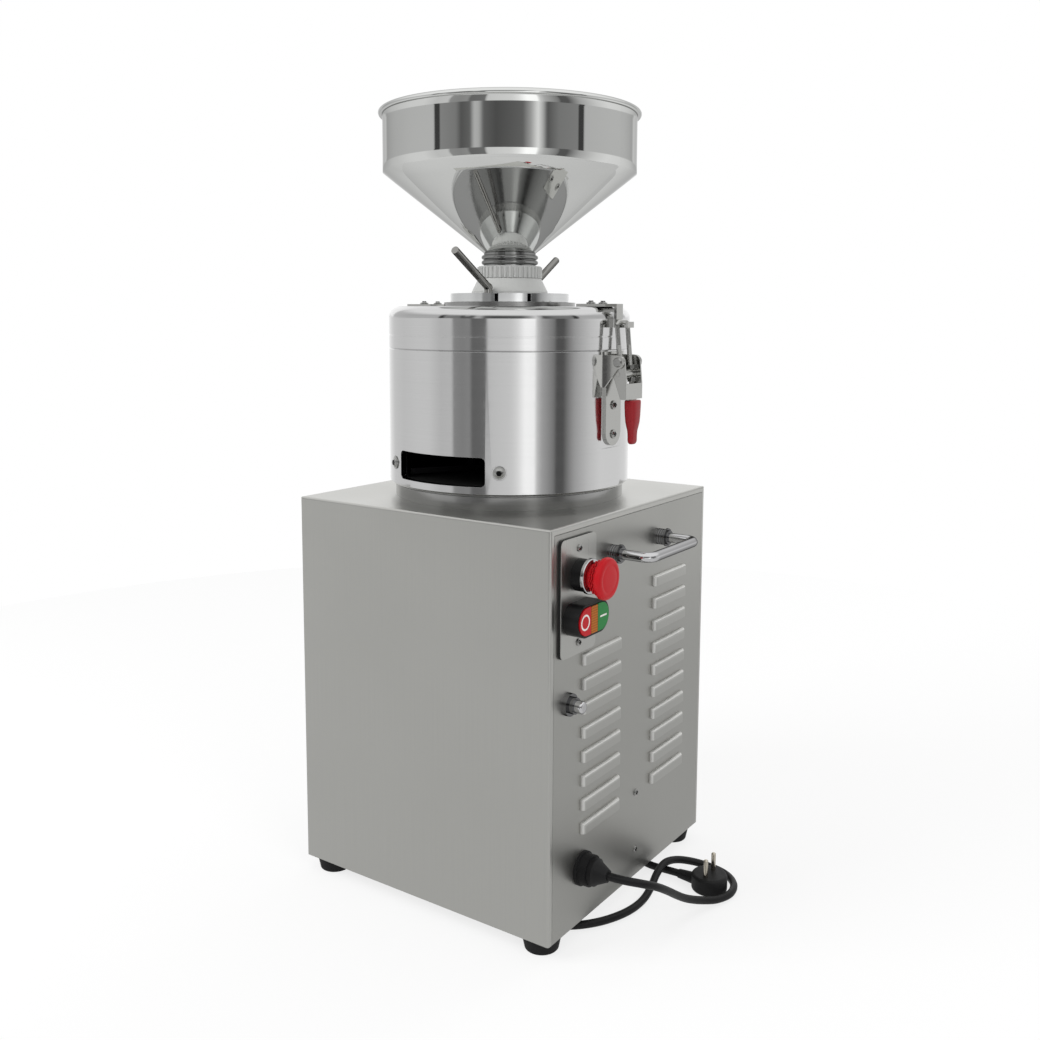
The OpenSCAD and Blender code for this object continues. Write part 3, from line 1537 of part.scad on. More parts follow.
// Ribbed motor housing with its mounting flange and bearing seats
module motor_housing() {
    seat_h = bearing_t + bearing_wall;
    color("#6d7176") difference() {
        union() {
            translate([0, 0, mount_z0]) cylinder(r = mount_r, h = mount_t);
            translate([0, 0, motor_z0]) cylinder(r = motor_r, h = motor_l + over);
            for (i = [0:motor_ribs - 1])
                rotate([0, 0, i * 360 / motor_ribs]) translate([motor_r - 2, -rib_t / 2, motor_z0 + 10])
                    cube([rib_out + 2, rib_t, motor_l - 20]);
        }
        translate([0, 0, motor_z0 + seat_h])
            cylinder(r = motor_r - motor_wall, h = motor_l + mount_t - 2 * seat_h);
        translate([0, 0, motor_z0 - over])
            cylinder(r = shaft_r + move_gap, h = motor_l + mount_t + 2 * over);
        for (z = [motor_z0 + bearing_wall, mount_z1 - seat_h - over])
            translate([0, 0, z]) cylinder(r = bearing_r + run_gap, h = bearing_t + over);
        motor_bolt_holes(mount_z0 - over, mount_t + 2 * over);
    }
}

// Sheet cowl under the motor, pushed over its end, with a round inlet
module fan_cowl() {
    color("#54585c") translate([0, 0, motor_z0 - cowl_l]) difference() {
        cylinder(r = motor_r + cowl_t + run_gap, h = cowl_l + cowl_lap);
        translate([0, 0, cowl_t]) cylinder(r = motor_r + run_gap, h = cowl_l + cowl_lap);
        translate([0, 0, -over]) cylinder(r = fan_r * 0.6, h = cowl_t + 2 * over);
    }
}

// Two ball bearings on the shaft
module bearings() {
    color("#b4b6b8") for (z = [motor_z0 + bearing_wall, mount_z1 - bearing_wall - bearing_t])
        translate([0, 0, z]) ring(bearing_r, shaft_r + run_gap, bearing_t);
}

// Bolts that clamp the motor, the cabinet's top, the ring and the drum together
module motor_bolts() {
    color("#8f9193") for (a = [45:90:315])
        on_circle(a, motor_bolt_at, mount_z0) rotate([180, 0, 0])
            screw(motor_bolt_r, motor_bolt_l, motor_bolt_r + 3, 5);
}

// Cooling fan on the shaft's lower end
module motor_fan() {
    hub = shaft_r + fan_hub;
    color("#3a3c3f") translate([0, 0, fan_z0]) difference() {
        union() {
            cylinder(r = hub, h = fan_h);
            translate([0, 0, fan_h - fan_t]) cylinder(r = fan_r, h = fan_t);
            for (i = [0:fan_blades - 1])
                rotate([0, 0, i * 360 / fan_blades]) translate([hub - fan_t, -fan_t / 2, fan_t])
                    cube([fan_r - hub - fan_t, fan_t, fan_h - 1.5 * fan_t]);
        }
        translate([0, 0, -over]) cylinder(r = shaft_r + run_gap, h = fan_h + 2 * over);
    }
}

cabinet_shell();
side_panel();
base_plate();
feet();
foot_screws();
panel_bracket();
panel_screws();
control_plate();
estop_housing();
estop_ring();
estop_stem();
estop_head();
button_body();
stop_button();
start_button();
pilot_lens();
contact_blocks();
overload_switch();
reset_plunger();
handle();
handle_ferrules();
cable_gland();
gland_nut();
cord();
plug();
plug_pins();
base_ring();
drum();
discharge_screws();
cover();
cover_seal();
cover_keepers();
keeper_screws();
latch_bases();
latch_lever(1);  // latch_lever_right
latch_lever(-1);  // latch_lever_left
latch_grip(1);  // latch_grip_right
latch_grip(-1);  // latch_grip_left
latch_bolt(1);  // latch_bolt_right
latch_bolt(-1);  // latch_bolt_left
latch_rivets();
latch_screws();
retaining_flange();
adjusting_disc();
adjusting_levers();
stator_sleeve();
stator_stone();
guide_pins();
hopper_collar();
union_nut();
hopper();
drive_shaft();
rotor_hub();
rotor_stone();
shaft_seal();
motor_housing();
fan_cowl();
motor_fan();
bearings();
motor_bolts();
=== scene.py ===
"""Looks of a vertical colloid mill: its finishes, mains lead, small fittings, camera and studio."""

import logging
import math
from dataclasses import dataclass
from enum import Enum
from typing import Any, Callable, Iterable, Sequence, Union

import bmesh
import bpy
from mathutils import Matrix, Vector


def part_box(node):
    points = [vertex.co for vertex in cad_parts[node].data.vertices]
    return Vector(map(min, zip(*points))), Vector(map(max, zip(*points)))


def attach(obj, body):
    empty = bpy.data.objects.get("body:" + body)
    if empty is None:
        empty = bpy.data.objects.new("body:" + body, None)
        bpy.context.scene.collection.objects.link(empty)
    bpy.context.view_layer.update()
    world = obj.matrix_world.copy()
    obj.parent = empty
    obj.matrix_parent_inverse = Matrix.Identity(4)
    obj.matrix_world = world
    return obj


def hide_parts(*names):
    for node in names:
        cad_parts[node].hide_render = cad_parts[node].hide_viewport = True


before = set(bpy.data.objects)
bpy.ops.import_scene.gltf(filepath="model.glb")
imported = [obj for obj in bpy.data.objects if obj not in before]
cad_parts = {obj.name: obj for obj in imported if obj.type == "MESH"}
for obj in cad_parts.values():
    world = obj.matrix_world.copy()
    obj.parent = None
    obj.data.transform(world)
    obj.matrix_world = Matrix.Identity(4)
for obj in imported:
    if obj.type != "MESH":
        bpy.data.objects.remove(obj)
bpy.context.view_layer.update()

LOG = logging.getLogger("colloid_mill")
MM = 0.001
Colour = tuple[float, float, float]
Point = tuple[float, float, float]
Ripple = Callable[[float, float], float]


def seen(red: int, green: int, blue: int) -> Colour:
    """Linear colour of an 8-bit screen colour.

    Args:
        red: Red, 0 to 255.
        green: Green, 0 to 255.
        blue: Blue, 0 to 255.

    Returns:
        The colour as linear light.
    """
    def linear(value: int) -> float:
        """One channel as linear light."""
        share = value / 255
        return share / 12.92 if share <= 0.04045 else ((share + 0.055) / 1.055) ** 2.4

    return linear(red), linear(green), linear(blue)


def shade(colour: Colour, factor: float) -> Colour:
    """The colour made lighter or darker by a factor."""
    return tuple(min(1.0, channel * factor) for channel in colour)


class Grain(Enum):
    """Which way the fine lines of a metal surface run."""

    UPRIGHT = (900.0, 900.0, 7.0)
    LEVEL = (7.0, 7.0, 900.0)
    ALONG_X = (7.0, 900.0, 900.0)
    NONE = (240.0, 240.0, 240.0)


class Drive(Enum):
    """Shape of the recess in a screw's head, by its number of corners."""

    HEX = 6
    CROSS = 12


# Shader building


class Wire:
    """A number socket of a shader tree; arithmetic on it adds Math nodes."""

    def __init__(self, graph: "Graph", socket: Any) -> None:
        """Keeps the tree and the socket."""
        self.graph = graph
        self.socket = socket

    def math(self, operation: str, other: "Number", swap: bool = False) -> "Wire":
        """Adds one Math node.

        Args:
            operation: The Math node's operation.
            other: The other value.
            swap: True where the other value comes first.

        Returns:
            The node's result.
        """
        pair = (other, self) if swap else (self, other)
        return self.graph.add("ShaderNodeMath", {"operation": operation}, {0: pair[0], 1: pair[1]})

    def __add__(self, other: "Number") -> "Wire":
        """Sum."""
        return self.math("ADD", other)

    def __radd__(self, other: "Number") -> "Wire":
        """Sum, with the number first."""
        return self.math("ADD", other)

    def __sub__(self, other: "Number") -> "Wire":
        """Difference."""
        return self.math("SUBTRACT", other)

    def __rsub__(self, other: "Number") -> "Wire":
        """Difference, with the number first."""
        return self.math("SUBTRACT", other, True)

    def __mul__(self, other: "Number") -> "Wire":
        """Product."""
        return self.math("MULTIPLY", other)

    def __rmul__(self, other: "Number") -> "Wire":
        """Product, with the number first."""
        return self.math("MULTIPLY", other)

    def __truediv__(self, other: "Number") -> "Wire":
        """Quotient."""
        return self.math("DIVIDE", other)

    def __rtruediv__(self, other: "Number") -> "Wire":
        """Quotient, with the number first."""
        return self.math("DIVIDE", other, True)

    def above(self, limit: float) -> "Wire":
        """One where the value is above the limit, else nought."""
        return self.math("GREATER_THAN", limit)

    def below(self, limit: float) -> "Wire":
        """One where the value is below the limit, else nought."""
        return self.math("LESS_THAN", limit)

    def ease(self, low: float, high: float) -> "Wire":
        """Runs smoothly from nought at low to one at high."""
        return self.graph.add(
            "ShaderNodeMapRange",
            {"interpolation_type": "SMOOTHSTEP"},
            {"Value": self, "From Min": low, "From Max": high},
        )


Number = Union[Wire, float]


class Graph:
    """A shader tree that is filled by expressions."""

    def __init__(self, tree: bpy.types.NodeTree) -> None:
        """Empties the tree."""
        self.tree = tree
        tree.nodes.clear()

    def add(
        self,
        kind: str,
        settings: dict[str, Any] | None = None,
        inputs: dict[int | str, Any] | None = None,
        output: int | str = 0,
    ) -> Wire:
        """Adds one node.

        Args:
            kind: The node's type.
            settings: Its own settings, set first; "stops" fills a colour ramp.
            inputs: Values or wires by socket name or number.
            output: The socket to give back.

        Returns:
            The chosen output.
        """
        node = self.tree.nodes.new(kind)
        for key, value in (settings or {}).items():
            if key == "stops":
                self._fill_ramp(node.color_ramp, value)
            else:
                setattr(node, key, value)
        for key, value in (inputs or {}).items():
            if isinstance(value, Wire):
                self.tree.links.new(value.socket, node.inputs[key])
            else:
                node.inputs[key].default_value = value
        return Wire(self, node.outputs[output] if node.outputs else None)

    @staticmethod
    def _fill_ramp(ramp: bpy.types.ColorRamp, stops: Sequence[tuple[float, float]]) -> None:
        """Sets a ramp's stops.

        Args:
            ramp: The ramp of a new node.
            stops: Place and grey level of each stop.
        """
        for _ in range(len(stops) - 2):
            ramp.elements.new(0.5)
        for element, (place, level) in zip(ramp.elements, stops):
            element.position = place
            element.color = (level, level, level, 1.0)

    def place(self) -> Wire:
        """Position on the object at rest, in metres."""
        return self.add("ShaderNodeTexCoord", output="Object")

    def axis(self, vector: Wire, name: str) -> Wire:
        """One coordinate of a vector."""
        return self.add("ShaderNodeSeparateXYZ", None, {0: vector}, name)

    def radius(self, vector: Wire) -> Wire:
        """Distance from the mill's axis."""
        flat = self.add(
            "ShaderNodeVectorMath", {"operation": "MULTIPLY"}, {0: vector, 1: (1.0, 1.0, 0.0)}
        )
        return self.add("ShaderNodeVectorMath", {"operation": "LENGTH"}, {0: flat}, "Value")

    def stretch(self, vector: Wire, factors: Sequence[float]) -> Wire:
        """The vector with each coordinate scaled."""
        return self.add(
            "ShaderNodeVectorMath", {"operation": "MULTIPLY"}, {0: vector, 1: tuple(factors)}
        )

    def noise(self, vector: Wire, scale: float = 1.0, detail: float = 2.0) -> Wire:
        """Soft noise between nought and one."""
        return self.add(
            "ShaderNodeTexNoise", None, {"Vector": vector, "Scale": scale, "Detail": detail}, 0
        )

    def mix(self, share: Number, first: Any, second: Any) -> Wire:
        """Colour between two colours.

        Args:
            share: Nought for the first, one for the second.
            first: A colour or a wire.
            second: A colour or a wire.

        Returns:
            The mixed colour.
        """
        def four(colour: Any) -> Any:
            """A plain colour with its alpha."""
            return colour if isinstance(colour, Wire) else (*colour, 1.0)

        return self.add(
            "ShaderNodeMix",
            {"data_type": "RGBA"},
            {0: share, 6: four(first), 7: four(second)},
            2,
        )

    def bump(self, height: Wire, strength: float, depth: float, edge: float) -> Wire:
        """Surface normal with fine relief and softened edges.

        Args:
            height: The relief's height, nought to one.
            strength: Share of the relief.
            depth: The relief's depth in metres.
            edge: Radius of the softened edges in metres, or nought.

        Returns:
            The normal.
        """
        inputs: dict[int | str, Any] = {"Strength": strength, "Distance": depth, "Height": height}
        if edge:
            inputs["Normal"] = self.add("ShaderNodeBevel", {"samples": 4}, {"Radius": edge})
        return self.add("ShaderNodeBump", None, inputs)


# Finishes


@dataclass(frozen=True)
class Finish:
    """A surface finish: a Principled shader with its detail."""

    name: str
    colour: Colour
    roughness: float
    metallic: float = 0.0
    edge: float = 0.4 * MM
    coat: float = 0.0
    specular: float = 0.5
    # Below one, metal reflections darken at grazing angles: painted dark rims standing in for reflected dark
    # surroundings.
    edge_tint: float = 1.0

    def material(self) -> bpy.types.Material:
        """The finish's material, made on first use.

        Returns:
            The material.
        """
        label = f"{self.name}_finish"
        found = bpy.data.materials.get(label)
        if found:
            return found
        made = bpy.data.materials.new(label)
        made.use_nodes = True
        made.diffuse_color = (*self.colour, 1.0)
        graph = Graph(made.node_tree)
        inputs: dict[int | str, Any] = {
            "Metallic": self.metallic,
            "Coat Weight": self.coat,
            "Coat Roughness": 0.08,
            "Specular IOR Level": self.specular,
            "Specular Tint": (self.edge_tint, self.edge_tint, self.edge_tint, 1.0),
        }
        inputs.update(self.detail(graph))
        shader = graph.add("ShaderNodeBsdfPrincipled", None, inputs)
        graph.add("ShaderNodeOutputMaterial", None, {"Surface": shader})
        return made

    def detail(self, graph: Graph) -> dict[str, Any]:
        """Inputs of the shader that vary over the surface."""
        raise NotImplementedError

    def dress(self, *names: str) -> None:
        """Gives CAD nodes this finish.

        Args:
            names: The nodes.
        """
        for name in names:
            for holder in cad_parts[name].material_slots:
                holder.material = self.material()
            LOG.info("dressed %s with %s", name, self.name)


@dataclass(frozen=True)
class BrushedSheet(Finish):
    """Satin sheet metal with a fine grain and faint handling marks."""

    grain: Grain = Grain.UPRIGHT
    metallic: float = 1.0
    depth: float = 0.05 * MM
    dark_band_x: float = 0.0
    # X beyond which raised pressings get painted highlights on their creases and faces.
    highlight_crown_x: float = 0.0

    def detail(self, graph: Graph) -> dict[str, Any]:
        """Grain and cloudy marks, painted highlights on the creases and faces of pressings, and a near-black
        band behind a plate's face.
        """
        place = graph.place()
        lines = graph.noise(graph.stretch(place, self.grain.value), 1.0, 3.0)
        cloud = graph.noise(place, 7.0, 3.0)
        skin = graph.mix(lines, shade(self.colour, 0.95), shade(self.colour, 1.04))
        rough = self.roughness + (lines - 0.5) * 0.16 + (cloud - 0.5) * 0.14
        # Painted highlight: the sloped creases of raised pressings are lightened towards near white and their
        # faces a little, standing in for caught light.
        if self.highlight_crown_x:
            facing = graph.axis(graph.add("ShaderNodeNewGeometry", output="Normal"), "X")
            raised = graph.axis(place, "X").ease(self.highlight_crown_x, self.highlight_crown_x + 0.7 * MM)
            painted_crease_highlight = raised * (1.0 - facing.ease(0.75, 0.97))
            skin = graph.mix(painted_crease_highlight * 0.80 + raised * 0.10, skin, seen(244, 244, 241))
            rough = rough + painted_crease_highlight * 0.2
        inputs: dict[str, Any] = {
            "Base Color": skin,
            "Roughness": rough,
            "Normal": graph.bump(lines, 0.22, self.depth, self.edge),
        }
        # Below this X the plate's edge is coloured near black and not metallic.
        if self.dark_band_x:
            behind = graph.axis(place, "X").below(self.dark_band_x)
            inputs["Base Color"] = graph.mix(behind, skin, seen(30, 30, 31))
            inputs["Metallic"] = 1.0 - behind
            inputs["Roughness"] = rough + behind * 0.2
        return inputs


@dataclass(frozen=True)
class TurnedMetal(Finish):
    """Metal turned on a lathe about the mill's axis; its bore, slot walls and top may carry painted shade."""

    metallic: float = 1.0
    # Painted shade in the bore: inside this radius the colour turns to the dark colour below.
    shade_inside_r: float = 0.0
    shade_colour: Colour = (0.010, 0.010, 0.010)
    # Painted shade on the top: above this height the colour is darkened by the factor below.
    shade_above: float = 0.0
    dull: float = 0.45
    # Painted shade on slot walls: a radius and two heights of walls coloured like the bore.
    shaded_slot: tuple[float, float, float] = (0.0, 0.0, 0.0)
    pitch: float = 2600.0
    relief: float = 0.16

    def detail(self, graph: Graph) -> dict[str, Any]:
        """Fine rings on walls and faces, and painted shade in the bore, on slot walls and on the top face."""
        place = graph.place()
        out = graph.radius(place)
        rise = graph.axis(place, "Z")
        track = graph.add(
            "ShaderNodeCombineXYZ", None, {0: out * self.pitch, 1: rise * self.pitch, 2: 0.0}
        )
        lines = graph.noise(track, 1.0, 2.0)
        broad = graph.noise(graph.stretch(track, (0.06, 0.06, 1.0)), 1.0, 1.0)
        cloud = graph.noise(place, 11.0, 2.0)
        skin = graph.mix(lines, shade(self.colour, 0.84), shade(self.colour, 1.10))
        rough = self.roughness + (lines - 0.5) * 0.12 + (broad - 0.5) * 0.10 + (cloud - 0.5) * 0.06
        inputs: dict[str, Any] = {
            "Base Color": skin,
            "Roughness": rough,
            "Normal": graph.bump(lines, self.relief, 0.04 * MM, self.edge),
        }
        # Painted shade on the top face.
        if self.shade_above:
            top = rise.above(self.shade_above)
            inputs["Base Color"] = graph.mix(top, skin, shade(self.colour, self.dull))
        # Painted shade on the slot walls.
        if self.shaded_slot[0]:
            reach, low, high = self.shaded_slot
            wall = out.below(reach) * rise.above(low) * rise.below(high)
            inputs["Base Color"] = graph.mix(wall, skin, self.shade_colour)
        # Painted shade in the bore: near black, not metallic and rougher.
        if self.shade_inside_r:
            bore = out.below(self.shade_inside_r)
            inputs["Base Color"] = graph.mix(bore, skin, self.shade_colour)
            inputs["Metallic"] = 1.0 - bore
            inputs["Roughness"] = rough + bore * 0.4
        return inputs


@dataclass(frozen=True)
class Polished(Finish):
    """Mirror-bright metal with faint polishing lines and smudges."""

    metallic: float = 1.0
    smudge: float = 0.05
    wave: float = 0.02
    dark_below: float = 0.0

    def detail(self, graph: Graph) -> dict[str, Any]:
        """Polishing lines around the axis, soft smudges and a darker foot."""
        place = graph.place()
        track = graph.add(
            "ShaderNodeCombineXYZ", None,
            {0: graph.radius(place) * 900.0, 1: graph.axis(place, "Z") * 900.0, 2: 0.0},
        )
        lines = graph.noise(track, 1.0, 2.0)
        cloud = graph.noise(place, 16.0, 4.0)
        skin = graph.mix(cloud, shade(self.colour, 0.95), shade(self.colour, 1.03))
        # Below this height the colour is darkened to four tenths.
        if self.dark_below:
            low = graph.axis(place, "Z").below(self.dark_below)
            skin = graph.mix(low, skin, shade(self.colour, 0.4))
        return {
            "Base Color": skin,
            "Roughness": self.roughness + cloud.ease(0.45, 0.8) * self.smudge + (lines - 0.5) * 0.03,
            "Normal": self.relief(graph, place, lines),
        }

    def relief(self, graph: Graph, place: Wire, lines: Wire) -> Wire:
        """Normal with the polishing lines.

        Args:
            graph: The shader tree.
            place: Position on the object.
            lines: The polishing lines.

        Returns:
            The normal.
        """
        return graph.bump(lines, self.wave, 0.03 * MM, self.edge)


@dataclass(frozen=True)
class SpunSheet(Polished):
    """Polished sheet spun to shape; each bend is given by height, reach and depth in metres."""

    bends: tuple[tuple[float, float, float], ...] = ()

    def relief(self, graph: Graph, place: Wire, lines: Wire) -> Wire:
        """Normal that runs softly round each bend.

        Args:
            graph: The shader tree.
            place: Position on the object.
            lines: The polishing lines.

        Returns:
            The normal.
        """
        rise = graph.axis(place, "Z")
        height = lines * (self.wave * 0.03 * MM)
        for level, reach, depth in self.bends:
            near = (1.0 - (rise - level).math("ABSOLUTE", 0.0) / reach).math("MAXIMUM", 0.0)
            height = height + near * near * depth
        return graph.bump(height, 1.0, 1.0, self.edge)


@dataclass(frozen=True)
class Moulded(Finish):
    """Moulded plastic, vinyl or rubber with a fine skin and some dust."""

    skin: float = 3200.0
    dust: float = 0.10
    relief: float = 0.12

    def detail(self, graph: Graph) -> dict[str, Any]:
        """Skin relief, slight change of colour and dull patches."""
        place = graph.place()
        grain = graph.noise(place, self.skin, 2.0)
        cloud = graph.noise(place, 38.0, 3.0)
        dull = cloud.ease(0.45, 0.75)
        pale = tuple(channel + 0.03 for channel in shade(self.colour, 1.12))
        return {
            "Base Color": graph.mix(dull * self.dust + grain * 0.10, self.colour, pale),
            "Roughness": self.roughness + (grain - 0.5) * 0.12 + dull * 0.10,
            "Normal": graph.bump(grain, self.relief, 0.05 * MM, self.edge),
        }


@dataclass(frozen=True)
class RibbedLens(Finish):
    """Clear coloured lens with moulded ribs along it."""

    pitch: float = 2600.0

    def detail(self, graph: Graph) -> dict[str, Any]:
        """Ribs in relief, with painted shade in the grooves and painted light on the ridges."""
        place = graph.place()
        wave = (graph.axis(place, "Z") * self.pitch).math("SINE", 0.0) * 0.5 + 0.5
        cloud = graph.noise(place, 90.0, 2.0)
        # Painted shade in the grooves and painted light on the ridges.
        return {
            "Base Color": graph.mix(wave, shade(self.colour, 0.72), shade(self.colour, 1.12)),
            "Roughness": self.roughness + cloud * 0.08,
            "Normal": graph.bump(wave, 0.35, 0.2 * MM, self.edge),
        }


@dataclass(frozen=True)
class BondedStone(Finish):
    """Bonded abrasive with coarse grit."""

    def detail(self, graph: Graph) -> dict[str, Any]:
        """Grit of several sizes with pores between."""
        place = graph.place()
        grit = graph.add(
            "ShaderNodeTexVoronoi", None, {"Vector": place, "Scale": 900.0}, "Distance"
        )
        fine = graph.noise(place, 2600.0, 3.0)
        speck = (grit * 1.4 + fine * 0.4).ease(0.2, 0.9)
        return {
            "Base Color": graph.mix(speck, shade(self.colour, 1.35), shade(self.colour, 0.55)),
            "Roughness": self.roughness + fine * 0.1,
            "Normal": graph.bump(speck, 0.5, 0.25 * MM, self.edge),
        }


@dataclass(frozen=True)
class Paint(Finish):
    """Sprayed paint with slight orange peel and chips of bare metal."""

    def detail(self, graph: Graph) -> dict[str, Any]:
        """Orange peel and small worn spots."""
        place = graph.place()
        peel = graph.noise(place, 420.0, 2.0)
        chips = graph.noise(place, 120.0, 5.0).ease(0.70, 0.74)
        return {
            "Base Color": graph.mix(chips, self.colour, (0.32, 0.32, 0.31)),
            "Roughness": self.roughness + (peel - 0.5) * 0.2,
            "Metallic": chips,
            "Normal": graph.bump(peel, 0.2, 0.15 * MM, self.edge),
        }


CABINET_SHEET = BrushedSheet("cabinet_sheet", seen(197, 197, 193), 0.33, edge=0.9 * MM)
PANEL_SHEET = BrushedSheet("panel_sheet", seen(180, 180, 176), 0.36, edge=0.5 * MM, highlight_crown_x=160.2 * MM)
SWITCH_PLATE = BrushedSheet(
    "switch_plate", seen(186, 186, 182), 0.32, edge=0.3 * MM, dark_band_x=162.6 * MM, highlight_crown_x=162.4 * MM
)
TRAY_SHEET = BrushedSheet("tray_sheet", seen(170, 171, 170), 0.45, grain=Grain.ALONG_X)
LATCH_SHEET = BrushedSheet("latch_sheet", seen(188, 188, 185), 0.12, grain=Grain.LEVEL)
PLATED = BrushedSheet("plated_fastener", seen(176, 176, 174), 0.24, grain=Grain.NONE)
SHAFT = BrushedSheet("ground_shaft", seen(186, 187, 189), 0.25, grain=Grain.LEVEL)
CAST = BrushedSheet("dark_casting", seen(46, 46, 47), 0.55, grain=Grain.NONE)
# Painted shade: near-black marks that stand in for the shaded recesses of screw heads.
RECESS_SHADE = BrushedSheet("painted_recess_shade", seen(38, 38, 38), 0.5, grain=Grain.NONE)
# The drum's bore is painted near black as shade.
DRUM_METAL = TurnedMetal("turned_drum", seen(222, 222, 222), 0.09, shade_inside_r=0.1225, edge=0.3 * MM)
# The cover's top face is painted darker as shade from the hopper.
COVER_METAL = TurnedMetal("turned_cover", seen(222, 222, 222), 0.09, edge=0.2 * MM, shade_above=0.6192)
RING_METAL = TurnedMetal("turned_ring", seen(172, 172, 171), 0.20)
# The walls of the adjusting disc's notches are painted near black as shade.
ADJUSTER_METAL = TurnedMetal("turned_adjuster", seen(228, 229, 229), 0.10, shaded_slot=(0.0633, 0.6253, 0.6335))
# The hopper's edge tint paints darker reflections on its rims.
HOPPER_METAL = SpunSheet(
    "polished_hopper", seen(232, 233, 231), 0.035, edge=0.0, smudge=0.03, edge_tint=0.5, dark_below=0.6775,
    bends=((0.7602, 0.010, -0.0024), (0.8190, 0.008, 0.0018)),
)
# Low edge tints on chrome, lever rod and dark nickel paint dark rims as reflections of dark surroundings.
CHROME = Polished("chrome", seen(218, 218, 219), 0.045, edge=0.0, smudge=0.03, edge_tint=0.1)
LEVER_ROD = Polished("lever_rod", seen(160, 159, 156), 0.09, edge=0.0, edge_tint=0.0)
FERRULE = Polished("dark_nickel", seen(140, 140, 141), 0.12, edge=0.0, edge_tint=0.0)
BEARING = Polished("bearing_steel", seen(188, 189, 191), 0.2, edge=0.0)
PIN_METAL = Polished("nickel_pin", seen(205, 198, 184), 0.16)
NYLON = Moulded("white_nylon", seen(196, 197, 195), 0.42, dust=0.06, relief=0.06)
BLACK = Moulded("black_plastic", seen(20, 20, 21), 0.34, dust=0.04, specular=0.22)
MATT_BLACK = Moulded("black_moulding", seen(24, 24, 25), 0.5, dust=0.06, specular=0.25)
RED = Moulded("red_plastic", seen(186, 14, 26), 0.30, dust=0.02, relief=0.05, specular=0.22)
GREEN = Moulded("green_plastic", seen(34, 124, 60), 0.30, dust=0.02, relief=0.05, specular=0.22)
VINYL = Moulded("red_vinyl", seen(146, 22, 30), 0.34, skin=1500.0, dust=0.02, specular=0.35)
RUBBER = Moulded("black_rubber", seen(22, 22, 23), 0.66, skin=1400.0, dust=0.12, relief=0.25, specular=0.25)
PVC = Moulded("cord_pvc", seen(20, 20, 21), 0.40, dust=0.06, specular=0.25)
MARK_WHITE = Moulded("white_mark", seen(232, 230, 226), 0.5, edge=0.0)
AMBER = RibbedLens("amber_lens", seen(172, 98, 16), 0.25, specular=0.18)
STONE = BondedStone("bonded_stone", seen(120, 121, 124), 0.82)
MOTOR_PAINT = Paint("motor_paint", seen(108, 114, 120), 0.4)


# Mesh building


